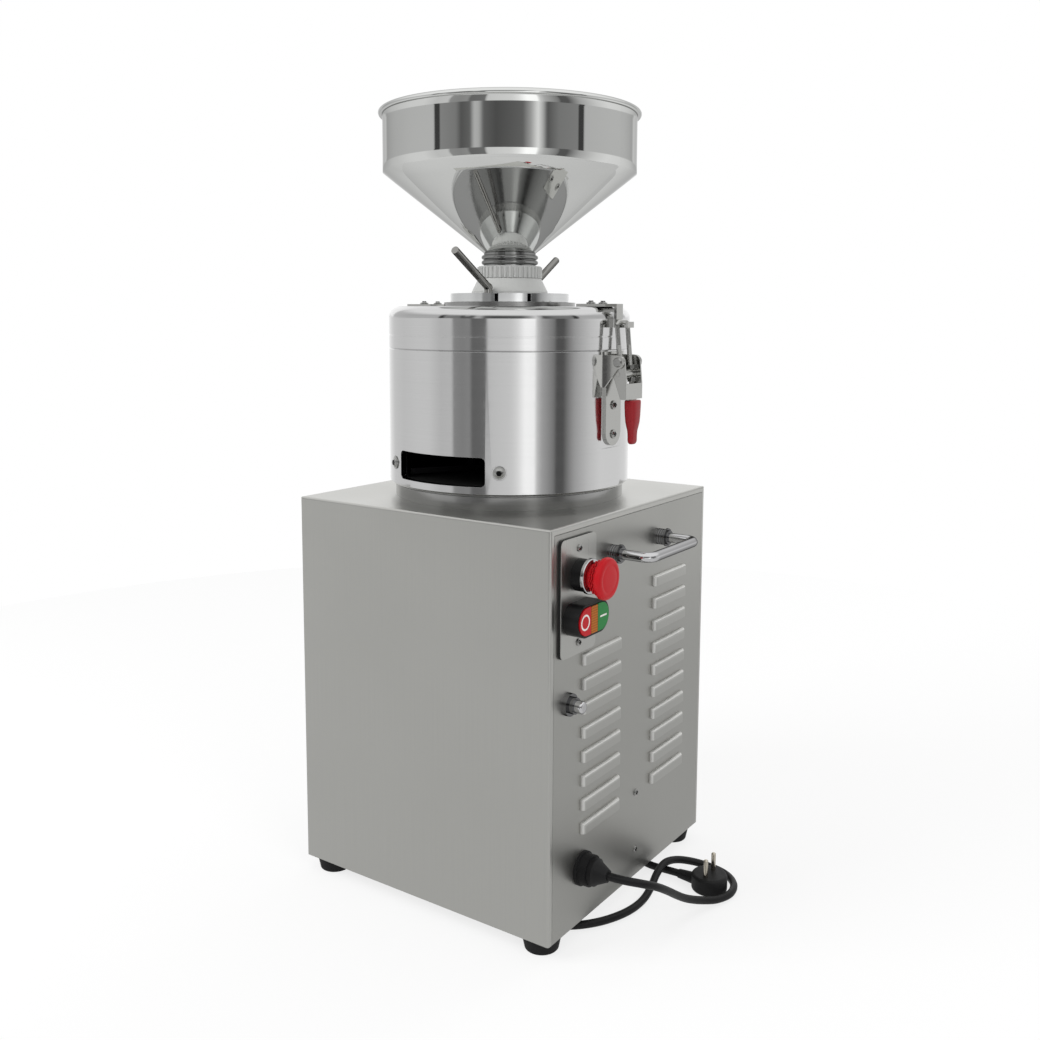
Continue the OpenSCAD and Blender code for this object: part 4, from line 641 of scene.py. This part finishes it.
class Shop:
    """Makes meshes and turns them into pieces of the mill."""

    @staticmethod
    def piece(
        name: str,
        mesh: bmesh.types.BMesh,
        finish: Finish,
        body: str,
        slot: str,
        replaced: Iterable[str] = (),
        smooth_deg: float = 40.0,
    ) -> bpy.types.Object:
        """Finishes a mesh as a piece that moves with a body.

        Args:
            name: The piece's name.
            mesh: Its mesh in the row frame, which is used up.
            finish: Its finish.
            body: The CAD body that carries it.
            slot: The record's material slot.
            replaced: CAD nodes that it stands for.
            smooth_deg: Edges sharper than this stay sharp.

        Returns:
            The piece.
        """
        bmesh.ops.remove_doubles(mesh, verts=mesh.verts, dist=1e-7)
        bmesh.ops.recalc_face_normals(mesh, faces=mesh.faces)
        for face in mesh.faces:
            face.smooth = True
        for edge in mesh.edges:
            edge.smooth = len(edge.link_faces) == 2 and edge.calc_face_angle(0.0) < math.radians(smooth_deg)
        data = bpy.data.meshes.new(name)
        mesh.to_mesh(data)
        mesh.free()
        return Shop.settle(Shop.link(name, data), finish, body, slot, replaced)

    @staticmethod
    def link(name: str, data: bpy.types.ID) -> bpy.types.Object:
        """Adds an object with this data to the scene."""
        made = bpy.data.objects.new(name, data)
        bpy.context.scene.collection.objects.link(made)
        return made

    @staticmethod
    def settle(
        made: bpy.types.Object, finish: Finish, body: str, slot: str, replaced: Iterable[str] = ()
    ) -> bpy.types.Object:
        """Gives a new object its finish and its body.

        Args:
            made: The object.
            finish: Its finish.
            body: The CAD body that carries it.
            slot: The record's material slot; not used.
            replaced: CAD nodes that it stands for.

        Returns:
            The object.
        """
        made.data.materials.append(finish.material())
        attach(made, body)
        for node in replaced:
            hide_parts(node)
        LOG.info("built %s on %s", made.name, body)
        return made

    @staticmethod
    def turn(
        mesh: bmesh.types.BMesh,
        profile: Sequence[tuple[float, float]],
        place: Matrix,
        sides: int,
        ripple: Ripple | None = None,
    ) -> None:
        """Turns a profile about the local Z axis.

        Args:
            mesh: The mesh that takes the form.
            profile: Height and radius of each ring; a radius of nought closes an end.
            place: From the local frame to the row frame.
            sides: Points around.
            ripple: Factor on the radius at a height and an angle.
        """
        rings = []
        for height, out in profile:
            if out == 0.0:
                rings.append([mesh.verts.new(place @ Vector((0.0, 0.0, height)))])
                continue
            ring = []
            for step in range(sides):
                angle = math.tau * step / sides
                reach = out * (ripple(height, angle) if ripple else 1.0)
                at = Vector((reach * math.cos(angle), reach * math.sin(angle), height))
                ring.append(mesh.verts.new(place @ at))
            rings.append(ring)
        for low, high in zip(rings, rings[1:]):
            for step in range(sides):
                follow = (step + 1) % sides
                corners = [low[step % len(low)], low[follow % len(low)],
                           high[follow % len(high)], high[step % len(high)]]
                mesh.faces.new(list(dict.fromkeys(corners)))

    @staticmethod
    def stamp(
        mesh: bmesh.types.BMesh,
        outline: Sequence[tuple[float, float]],
        thick: float,
        place: Matrix,
        chamfer: float = 0.0,
    ) -> None:
        """Raises a flat outline into a plate with a chamfered upper edge.

        Args:
            mesh: The mesh that takes the plate.
            outline: Corners in the local XY plane, counter-clockwise.
            thick: The plate's thickness along local Z.
            place: From the local frame to the row frame.
            chamfer: Share by which the upper outline is drawn in.
        """
        middle = Vector((sum(x for x, _ in outline), sum(y for _, y in outline))) / len(outline)
        levels = []
        for height, pull in ((0.0, 0.0), (thick * 0.6, 0.0), (thick, chamfer)):
            level = []
            for x, y in outline:
                flat = Vector((x, y)).lerp(middle, pull)
                level.append(mesh.verts.new(place @ Vector((flat.x, flat.y, height))))
            levels.append(level)
        Shop.wall(mesh, levels)

    @staticmethod
    def wall(mesh: bmesh.types.BMesh, rings: Sequence[Sequence[bmesh.types.BMVert]]) -> None:
        """Joins rings of equal length and closes both ends.

        Args:
            mesh: The mesh that takes the faces.
            rings: The rings from end to end.
        """
        for low, high in zip(rings, rings[1:]):
            for step in range(len(low)):
                follow = (step + 1) % len(low)
                mesh.faces.new((low[step], low[follow], high[follow], high[step]))
        mesh.faces.new(rings[0][::-1])
        mesh.faces.new(rings[-1])

    @staticmethod
    def facing(origin: Point, normal: Point) -> Matrix:
        """Frame at a point in millimetres whose Z axis is the normal and whose X axis is level.

        Args:
            origin: The point, in millimetres.
            normal: The outward direction.

        Returns:
            The frame, in metres.
        """
        out = Vector(normal).normalized()
        side = Vector((0.0, 0.0, 1.0)).cross(out)
        side = side.normalized() if side.length > 1e-6 else Vector((1.0, 0.0, 0.0))
        up = out.cross(side)
        turn = Matrix((side, up, out)).transposed().to_4x4()
        return Matrix.Translation(Vector(origin) * MM) @ turn

    @staticmethod
    def recess(drive: Drive, size: float) -> list[tuple[float, float]]:
        """Outline of a screw's recess.

        Args:
            drive: The kind of recess.
            size: Its half width in metres.

        Returns:
            The outline's corners.
        """
        if drive is Drive.HEX:
            corners = [math.radians(60 * corner) for corner in range(6)]
            return [(size * math.cos(angle), size * math.sin(angle)) for angle in corners]
        arm = size * 0.30
        quarter = [(size, arm), (arm, arm), (arm, size)]
        outline = []
        for turn in range(4):
            for x, y in quarter:
                for _ in range(turn):
                    x, y = -y, x
                outline.append((x, y))
        return outline


# Sub-assemblies


@dataclass
class PhotoCamera:
    """The photograph's viewpoint, fitted to the cabinet's edges; the image is 1040 pixels square."""

    position: Point = (692.0, -973.95, 612.55)
    azimuth_deg: float = 34.4752
    pitch_deg: float = 6.6409
    roll_deg: float = 0.2357
    focal_px: float = 1093.667
    centre_px: tuple[float, float] = (526.82, 441.21)
    image_px: float = 1040.0
    sensor_mm: float = 36.0

    def build(self) -> None:
        """Makes the camera and hands it to the scene."""
        data = bpy.data.cameras.new("photo_camera")
        data.sensor_width = self.sensor_mm
        data.lens = self.focal_px * self.sensor_mm / self.image_px
        data.shift_x = 0.5 - self.centre_px[0] / self.image_px
        data.shift_y = self.centre_px[1] / self.image_px - 0.5
        data.clip_start = 0.01
        data.clip_end = 60.0
        camera = Shop.link("photo_camera", data)
        side, fall = math.radians(self.azimuth_deg), math.radians(self.pitch_deg)
        aim = Vector((-math.sin(side) * math.cos(fall), math.cos(side) * math.cos(fall), -math.sin(fall)))
        turn = aim.to_track_quat("-Z", "Y").to_matrix() @ Matrix.Rotation(math.radians(self.roll_deg), 3, "Z")
        camera.matrix_world = Matrix.Translation(Vector(self.position) * MM) @ turn.to_4x4()
        bpy.context.scene.camera = camera
        LOG.info("camera placed")


@dataclass
class MainsLead:
    """The mains lead on its route from the gland to the plug, in millimetres."""

    radius: float = 4.0
    steps: int = 8
    route: tuple[Point, ...] = (
        (172, -100, 71), (188, -100, 71), (205, -97, 70.3), (219, -87, 66.8), (227, -71, 59),
        (229, -51, 46.5), (229, -31, 33), (231, -11, 20.5), (237, 11, 10.5), (246, 31, 5.2),
        (251.5, 51, 4.1), (247, 70.5, 4.1), (232.5, 85, 4.1), (213, 90, 4.6), (193.5, 85, 7.5),
        (179, 70.5, 12), (174, 51, 15), (175.5, 30, 12.5), (179.5, 9, 7.5), (182, -12, 4.6),
        (181, -34, 4.1), (175, -56, 4.1), (164, -77, 4.1), (148, -95, 4.1), (127, -108, 4.1),
        (100, -116, 4.1), (60, -121, 4.1), (15, -123, 4.1), (-30, -119, 4.1), (-72, -103, 4.1),
        (-104, -72, 4.1), (-118, -32, 4.1), (-114, 12, 4.1), (-92, 52, 4.1), (-56, 84, 4.1),
        (-8, 100, 4.1), (44, 98, 4.1), (90, 82, 4.1), (125, 65, 4.1), (150, 57.5, 4.1),
        (164, 55.5, 4.8), (178, 54, 6.3), (190, 54, 6.7),
    )

    def line(self) -> list[Vector]:
        """The route as a smooth line.

        Returns:
            Points along the line, in metres.
        """
        stops = [Vector(point) * MM for point in self.route]
        padded = [stops[0], *stops, stops[-1]]
        points = []
        for a, b, c, d in zip(padded, padded[1:], padded[2:], padded[3:]):
            for step in range(self.steps):
                t = step / self.steps
                points.append(0.5 * (
                    2 * b + (c - a) * t
                    + (2 * a - 5 * b + 4 * c - d) * t ** 2
                    + (3 * b - a - 3 * c + d) * t ** 3
                ))
        points.append(stops[-1])
        return points

    def build(self) -> None:
        points = self.line()
        curve = bpy.data.curves.new("mains_lead", "CURVE")
        curve.dimensions = "3D"
        curve.bevel_depth = self.radius * MM
        curve.bevel_resolution = 5
        curve.use_fill_caps = True
        spline = curve.splines.new("POLY")
        spline.points.add(len(points) - 1)
        for knot, point in zip(spline.points, points):
            knot.co = (*point, 1.0)
        lead = Shop.link("mains_lead", curve)
        Shop.settle(lead, PVC, "cabinet", "cord_pvc", ["cord"])
        length = sum((b - a).length for a, b in zip(points, points[1:]))
        2 * self.radius * MM
        LOG.info("lead is %.3f m long", length)

    def dress(self) -> None:
        """Finishes the plug, its pins and the gland."""
        MATT_BLACK.dress("plug", "cable_gland", "gland_nut")
        PIN_METAL.dress("plug_pins")


@dataclass
class ScrewHeads:
    """Dark marks on the screws that show, painted shade standing in for their recesses; the places are the
    middles of the heads' tops in millimetres.
    """

    proud: float = 0.12
    sunk: float = 0.6
    panel_at: tuple[float, float] = (162.2, 7.0)
    panel_z: tuple[float, float] = (46.0, 109.0)
    plate_at: tuple[float, float] = (165.4, -116.0)
    plate_z: tuple[float, float] = (395.0, 304.0)
    keeper_at: Point = (110.0, 12.0, 626.2)
    latch_x: float = 133.8
    latch_z: tuple[float, float] = (490.0, 520.0)
    window_deg: float = 31.0
    window_r: float = 133.4
    window_z: float = 456.75

    def group(self, name: str, places: Iterable[tuple[Point, Point]], drive: Drive, size: float) -> None:
        """Makes the dark marks, painted recess shade, of one group of screws.

        Args:
            name: The piece's name.
            places: Middle of each head's top in millimetres, and its outward direction.
            drive: The kind of recess.
            size: Half width of the recess in millimetres.
        """
        mesh = bmesh.new()
        for origin, normal in places:
            out = Vector(normal).normalized()
            foot = Vector(origin) - out * self.sunk
            Shop.stamp(
                mesh, Shop.recess(drive, size * MM), (self.sunk + self.proud) * MM,
                Shop.facing(tuple(foot), normal), 0.08,
            )
        Shop.piece(name, mesh, RECESS_SHADE, "cabinet", "fastener_steel", smooth_deg=10.0)

    def build(self) -> None:
        """Makes every group."""
        panel = [((*self.panel_at, z), (1, 0, 0)) for z in self.panel_z]
        plate = [((*self.plate_at, z), (1, 0, 0)) for z in self.plate_z]
        self.group("panel_screw_recess_shade", panel + plate, Drive.CROSS, 2.0)
        x, y, top = self.keeper_at
        keeper = [((sx * x, sy * y, top), (0, 0, 1)) for sx in (-1, 1) for sy in (-1, 1)]
        self.group("keeper_screw_recess_shade", keeper, Drive.CROSS, 2.4)
        latch = [((sx * self.latch_x, 0.0, z), (sx, 0, 0)) for sx in (-1, 1) for z in self.latch_z]
        self.group("latch_screw_recess_shade", latch, Drive.CROSS, 2.4)
        window = []
        for deg in (-self.window_deg, self.window_deg):
            out = (math.sin(math.radians(deg)), -math.cos(math.radians(deg)), 0.0)
            window.append(((out[0] * self.window_r, out[1] * self.window_r, self.window_z), out))
        self.group("window_screw_recess_shade", window, Drive.HEX, 3.0)


@dataclass
class Cabinet:
    """Sheet-steel cabinet with its panel, tray, strap, feet and screws."""

    def dress(self) -> None:
        """Finishes the sheets, the feet and the screws."""
        CABINET_SHEET.dress("cabinet_shell")
        PANEL_SHEET.dress("side_panel")
        SWITCH_PLATE.dress("control_plate")
        TRAY_SHEET.dress("base_plate", "panel_bracket")
        RUBBER.dress("feet")
        PLATED.dress("foot_screws", "panel_screws")


@dataclass
class Controls:
    """Emergency stop, double push-button and reset button."""

    switch_y: float = -116.0
    estop_z: float = 369.5
    head_sides: int = 144
    head_profile: tuple[tuple[float, float], ...] = (
        (176.0, 6.2), (176.0, 11.6), (176.4, 12.0), (180.0, 12.0), (182.2, 12.0), (182.4, 15.9),
        (182.9, 16.4), (184.0, 16.4), (184.4, 15.2), (185.0, 15.2), (185.4, 16.7), (186.5, 16.7),
        (186.9, 15.5), (187.5, 15.5), (187.9, 17.2), (188.9, 18.8), (190.0, 19.6), (191.2, 20.0),
        (192.8, 20.0), (194.0, 19.9), (195.0, 19.5), (195.9, 18.7), (196.5, 17.6), (196.8, 16.4),
        (196.9, 15.0), (196.75, 13.6), (196.6, 13.0), (196.75, 12.2), (196.95, 8.0), (197.0, 4.0),
        (197.0, 0.0),
    )
    flutes: int = 18
    flute_deep: float = 0.10
    neck_x: float = 182.3
    flute_end_x: float = 191.5
    flute_fade: float = 4.0
    ring_out: float = 7.6
    ring_in: float = 5.9
    bar_w: float = 12.0
    bar_h: float = 1.7

    def flute(self, height: float, angle: float) -> float:
        """Finger flutes on the mushroom's back, fading out at its rim.

        Args:
            height: Along the head's axis in metres.
            angle: Around the axis.

        Returns:
            Factor on the radius.
        """
        if height < self.neck_x * MM:
            return 1.0
        fade = max(0.0, min(1.0, (self.flute_end_x * MM - height) / (self.flute_fade * MM)))
        return 1.0 - self.flute_deep * fade * (0.5 - 0.5 * math.cos(self.flutes * angle))

    def head(self) -> None:
        """Makes the fluted mushroom head in place of the plain one."""
        mesh = bmesh.new()
        place = Shop.facing((0.0, self.switch_y, self.estop_z), (1, 0, 0))
        Shop.turn(mesh, [(a * MM, r * MM) for a, r in self.head_profile], place, self.head_sides, self.flute)
        Shop.piece("estop_mushroom", mesh, RED, "estop_knob", "red_plastic", ["estop_head"], 60.0)

    @staticmethod
    def on_face(node: str, rise: float = 0.0) -> Matrix:
        """Frame on the middle of a button's face.

        Args:
            node: The button.
            rise: Distance from the face in millimetres.

        Returns:
            The frame, in metres.
        """
        low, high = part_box(node)
        middle = (low + high) / 2 / MM
        return Shop.facing((high.x / MM + rise, middle.y, middle.z), (1, 0, 0))

    def marks(self) -> None:
        """Makes the ring and the bar on the push-buttons."""
        mesh = bmesh.new()
        place = self.on_face("stop_button")
        profile = [
            (-0.3, self.ring_in), (-0.3, self.ring_out), (0.08, self.ring_out), (0.14, self.ring_out - 0.12),
            (0.14, self.ring_in + 0.12), (0.08, self.ring_in), (-0.3, self.ring_in),
        ]
        Shop.turn(mesh, [(a * MM, r * MM) for a, r in profile], place, 48)
        Shop.piece("stop_mark", mesh, MARK_WHITE, "stop", "white_nylon")
        mesh = bmesh.new()
        half_w, half_h = self.bar_w / 2 * MM, self.bar_h / 2 * MM
        outline = [(-half_w, -half_h), (half_w, -half_h), (half_w, half_h), (-half_w, half_h)]
        place = self.on_face("start_button", -0.3)
        Shop.stamp(mesh, outline, 0.44 * MM, place, 0.05)
        Shop.piece("start_mark", mesh, MARK_WHITE, "start", "white_nylon")

    def build(self) -> None:
        """Makes the head and the marks."""
        self.head()
        self.marks()

    def dress(self) -> None:
        """Finishes the switches."""
        BLACK.dress("estop_housing", "button_body", "contact_blocks")
        CHROME.dress("estop_ring", "reset_plunger")
        FERRULE.dress("overload_switch")
        PLATED.dress("estop_stem")
        RED.dress("estop_head", "stop_button")
        GREEN.dress("start_button")
        AMBER.dress("pilot_lens")


@dataclass
class Handle:
    """Bent chrome rod with two grooved ferrules."""

    def dress(self) -> None:
        """Finishes the rod and the ferrules."""
        CHROME.dress("handle")
        FERRULE.dress("handle_ferrules")


@dataclass
class Drum:
    """Base ring, drum, cover and their seals and screws."""

    def dress(self) -> None:
        """Finishes the turned parts."""
        RING_METAL.dress("base_ring", "retaining_flange")
        DRUM_METAL.dress("drum")
        COVER_METAL.dress("cover")
        RUBBER.dress("cover_seal", "shaft_seal")
        PLATED.dress("discharge_screws", "keeper_screws")


@dataclass
class Latches:
    """Both toggle latches: thread on the U-bolts and soft grips on the levers."""

    trunnion: tuple[float, float] = (145.0, 552.6)
    bow: tuple[float, float] = (140.0, 604.9)
    leg_y: float = 10.5
    leg_r: float = 2.5
    thread_pitch: float = 0.9
    thread_out: float = 0.16
    thread_from: float = -12.8
    thread_to: float = 30.0
    grip_mid_x: float = 153.5
    grip_sides: int = 28
    grip_round: float = 0.62
    sections: tuple[Point, ...] = (
        (481.1, 3.0, 1.5), (481.6, 4.6, 2.3), (483.2, 6.0, 3.0), (485.2, 6.4, 3.3), (488.0, 6.2, 3.4),
        (491.0, 6.2, 3.5), (495.0, 6.6, 3.8), (499.0, 7.3, 4.8), (504.0, 8.2, 5.8), (511.0, 9.0, 6.2),
        (519.0, 9.6, 6.4), (524.4, 9.9, 6.4), (525.7, 9.6, 6.1), (526.1, 9.0, 5.5),
    )

    def threads(self, side: int, body: str) -> None:
        """Makes the thread on one U-bolt's legs.

        Args:
            side: 1 for the right-hand latch, -1 for the left-hand one.
            body: The CAD body that carries it.
        """
        lean = Vector((self.bow[0] - self.trunnion[0], 0.0, self.bow[1] - self.trunnion[1])).normalized()
        lean.x *= side
        turns = int((self.thread_to - self.thread_from) / self.thread_pitch)
        profile = []
        for turn in range(turns):
            low = self.thread_from + turn * self.thread_pitch
            profile += [(low * MM, (self.leg_r - 0.05) * MM),
                        ((low + self.thread_pitch / 2) * MM, (self.leg_r + self.thread_out) * MM)]
        profile = [(profile[0][0], 0.0), *profile, (profile[-1][0], 0.0)]
        mesh = bmesh.new()
        for leg in (-1, 1):
            place = Shop.facing((side * self.trunnion[0], leg * self.leg_y, self.trunnion[1]), tuple(lean))
            Shop.turn(mesh, profile, place, 20)
        Shop.piece(f"{body}_thread", mesh, LATCH_SHEET, body, "latch_steel", smooth_deg=25.0)

    def grip(self, side: int, body: str, node: str) -> None:
        """Makes one soft grip, thick above and waisted towards its tip.

        Args:
            side: 1 for the right-hand latch, -1 for the left-hand one.
            body: The CAD body that carries it.
            node: The CAD node that it stands for.
        """
        mesh = bmesh.new()
        rings = []
        for height, half_y, half_x in self.sections:
            ring = []
            for step in range(self.grip_sides):
                angle = math.tau * step / self.grip_sides
                c, s = math.cos(angle), math.sin(angle)
                x = half_x * math.copysign(abs(c) ** self.grip_round, c)
                y = half_y * math.copysign(abs(s) ** self.grip_round, s)
                ring.append(mesh.verts.new(Vector((side * (self.grip_mid_x + x), y, height)) * MM))
            rings.append(ring)
        Shop.wall(mesh, rings)
        Shop.piece(f"{body}_grip", mesh, VINYL, body, "red_vinyl", [node], 50.0)

    def build(self) -> None:
        """Makes threads and grips on both sides."""
        for side, word in ((1, "right"), (-1, "left")):
            self.threads(side, f"bolt_{word}")
            self.grip(side, f"latch_{word}", f"latch_grip_{word}")

    def dress(self) -> None:
        """Finishes the pressed parts."""
        LATCH_SHEET.dress(
            "latch_bases", "latch_lever_right", "latch_lever_left", "latch_bolt_right", "latch_bolt_left",
            "cover_keepers",
        )
        PLATED.dress("latch_rivets", "latch_screws")
        VINYL.dress("latch_grip_right", "latch_grip_left")


@dataclass
class GrindingHead:
    """Adjuster, hopper, stones and what drives them."""

    def dress(self) -> None:
        """Finishes the adjuster, the hopper and the inner pieces."""
        ADJUSTER_METAL.dress("adjusting_disc", "stator_sleeve")
        CAST.dress("rotor_hub")
        LEVER_ROD.dress("adjusting_levers")
        NYLON.dress("hopper_collar", "union_nut")
        HOPPER_METAL.dress("hopper")
        STONE.dress("stator_stone", "rotor_stone")
        PLATED.dress("guide_pins", "motor_bolts")
        SHAFT.dress("drive_shaft")
        BEARING.dress("bearings")
        MOTOR_PAINT.dress("motor_housing", "fan_cowl")
        MATT_BLACK.dress("motor_fan")


@dataclass
class Studio:
    """White floor, soft lamps and the room that the bright metal reflects."""

    floor_out: float = 1.5
    floor_under: float = 0.0002
    camera_deg: float = 34.4752
    ambient: float = 0.62
    ceiling: float = 0.92
    low_end: tuple[float, float] = (0.03, 0.09)
    wall_end: tuple[float, float] = (0.30, 0.62)
    aim: Point = (0.0, 0.0, 0.4)
    lamps: tuple[tuple[str, Point, float, float], ...] = (
        ("key_lamp", (-1.3, -1.9, 2.0), 34.0, 1.4),
        ("fill_lamp", (2.1, -0.9, 1.3), 12.0, 1.2),
        ("back_lamp", (0.4, 2.0, 1.8), 12.0, 1.4),
    )
    high_room: tuple[tuple[float, float], ...] = (
        (-180, 1.05), (-146, 1.05), (-141, 0.58), (-110, 0.52), (-69, 0.52), (-68, 0.05), (-63, 0.05),
        (-62, 0.26), (-47, 0.22), (-42, 0.10), (-34, 0.14), (-30, 0.50), (-26, 0.46), (-22, 0.13),
        (-11, 0.085), (0, 0.11), (12, 0.14), (19, 0.40), (25, 0.82), (29, 0.50), (33, 0.10), (44, 0.21),
        (62, 0.24), (63, 0.05), (68, 0.05), (69, 0.50), (114, 0.56), (141, 0.60), (146, 1.05), (180, 1.05),
    )
    low_room: tuple[tuple[float, float], ...] = (
        (-180, 1.05), (-160, 0.92), (-139, 0.70), (-117, 0.67), (-95, 0.72), (-80, 0.72), (-66, 0.60),
        (-54, 0.62),
        (-52, 0.30), (-43, 0.27), (-36, 0.30), (-34, 0.15), (-21, 0.17), (-19, 0.66), (2, 0.74), (8, 0.88),
        (15, 1.22), (24, 1.20), (26, 0.70), (31, 0.45), (43, 0.22), (45, 0.10), (52, 0.10),
        (57, 0.24), (64, 0.42), (72, 0.54), (82, 0.68), (96, 0.80), (125, 0.78), (145, 0.80),
        (160, 0.92), (180, 1.05),
    )

    def floor(self) -> None:
        """Makes the floor, white to the camera and holding a soft shadow."""
        mesh = bmesh.new()
        rings, sides = 6, 64
        profile = [(0.0, 0.0)] + [(0.0, self.floor_out * (step + 1) / rings) for step in range(rings)]
        Shop.turn(mesh, profile, Matrix.Identity(4), sides)
        data = bpy.data.meshes.new("studio_floor")
        mesh.to_mesh(data)
        mesh.free()
        plane = Shop.link("studio_floor", data)
        plane.location.z = -self.floor_under
        paper = bpy.data.materials.new("floor_paper")
        paper.use_nodes = True
        graph = Graph(paper.node_tree)
        path = "ShaderNodeLightPath"
        direct = graph.add(path, output="Is Camera Ray")
        mirrored = graph.add(path, output="Is Glossy Ray") + graph.add(path, output="Is Transmission Ray")
        lit = graph.add("ShaderNodeBsdfDiffuse", None, {"Color": (0.86, 0.86, 0.86, 1.0)})
        side = graph.axis(graph.place(), "X").ease(0.15, 0.8)
        level = graph.mix(side, (0.60, 0.60, 0.60), (0.56, 0.56, 0.56))
        white = graph.mix(direct, level, (1.06, 1.06, 1.06))
        glow = graph.add("ShaderNodeEmission", None, {"Color": white, "Strength": 1.0})
        share = direct * 0.72 + mirrored * 0.80
        mixed = graph.add("ShaderNodeMixShader", None, {0: share, 1: lit, 2: glow})
        graph.add("ShaderNodeOutputMaterial", None, {"Surface": mixed})
        data.materials.append(paper)

    def room(self) -> None:
        """Sets the world: white to the camera, a studio with dark gaps to bright metal, soft light else."""
        world = bpy.data.worlds.new("studio_room")
        world.use_nodes = True
        bpy.context.scene.world = world
        graph = Graph(world.node_tree)
        view = graph.add("ShaderNodeTexCoord", output="Generated")
        a = math.radians(self.camera_deg)
        dot = {"operation": "DOT_PRODUCT"}
        sideways, ahead = (math.cos(a), math.sin(a), 0.0), (math.sin(a), -math.cos(a), 0.0)
        right = graph.add("ShaderNodeVectorMath", dot, {0: view, 1: sideways}, "Value")
        toward = graph.add("ShaderNodeVectorMath", dot, {0: view, 1: ahead}, "Value")
        turn = right.math("ARCTAN2", toward) / math.tau + 0.5
        rise = graph.axis(view, "Z")
        bands = []
        for room in (self.low_room, self.high_room):
            stops = [((deg + 180.0) / 360.0, level) for deg, level in room]
            bands.append(graph.add("ShaderNodeValToRGB", {"stops": stops}, {0: turn}))
        walls = graph.mix(rise.ease(*self.low_end), bands[0], bands[1])
        mirrored = graph.mix(rise.ease(*self.wall_end), walls, (self.ceiling,) * 3)
        path = "ShaderNodeLightPath"
        glossy = graph.add(path, output="Is Glossy Ray")
        direct = graph.add(path, output="Is Camera Ray")
        soft = (self.ambient,) * 3
        tone = graph.mix(direct, graph.mix(glossy, soft, mirrored), (1.0, 1.0, 1.0))
        back = graph.add("ShaderNodeBackground", None, {"Color": tone, "Strength": 1.0})
        graph.add("ShaderNodeOutputWorld", None, {"Surface": back})

    def lamp(self, name: str, at: Point, power: float, size: float) -> None:
        """Hangs one soft lamp that looks at the mill.

        Args:
            name: The lamp's name.
            at: Its place in metres.
            power: Its power in watts.
            size: Its side in metres.
        """
        data = bpy.data.lights.new(name, "AREA")
        data.energy = power
        data.size = size
        made = Shop.link(name, data)
        made.location = at
        made.rotation_euler = (Vector(self.aim) - Vector(at)).to_track_quat("-Z", "Y").to_euler()
        made.visible_glossy = False

    def build(self) -> None:
        """Sets up floor, room, lamps and view."""
        self.floor()
        self.room()
        for lamp in self.lamps:
            self.lamp(*lamp)
        bpy.context.scene.view_settings.view_transform = "Standard"
        LOG.info("studio set")


def main() -> None:
    """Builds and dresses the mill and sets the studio."""
    logging.basicConfig(level=logging.INFO, format="%(name)s: %(message)s")
    PhotoCamera().build()
    lead = MainsLead()
    lead.build()
    lead.dress()
    Cabinet().dress()
    controls = Controls()
    controls.build()
    controls.dress()
    Handle().dress()
    Drum().dress()
    latches = Latches()
    latches.build()
    latches.dress()
    GrindingHead().dress()
    ScrewHeads().build()
    Studio().build()


if __name__ == "__main__":
    main()
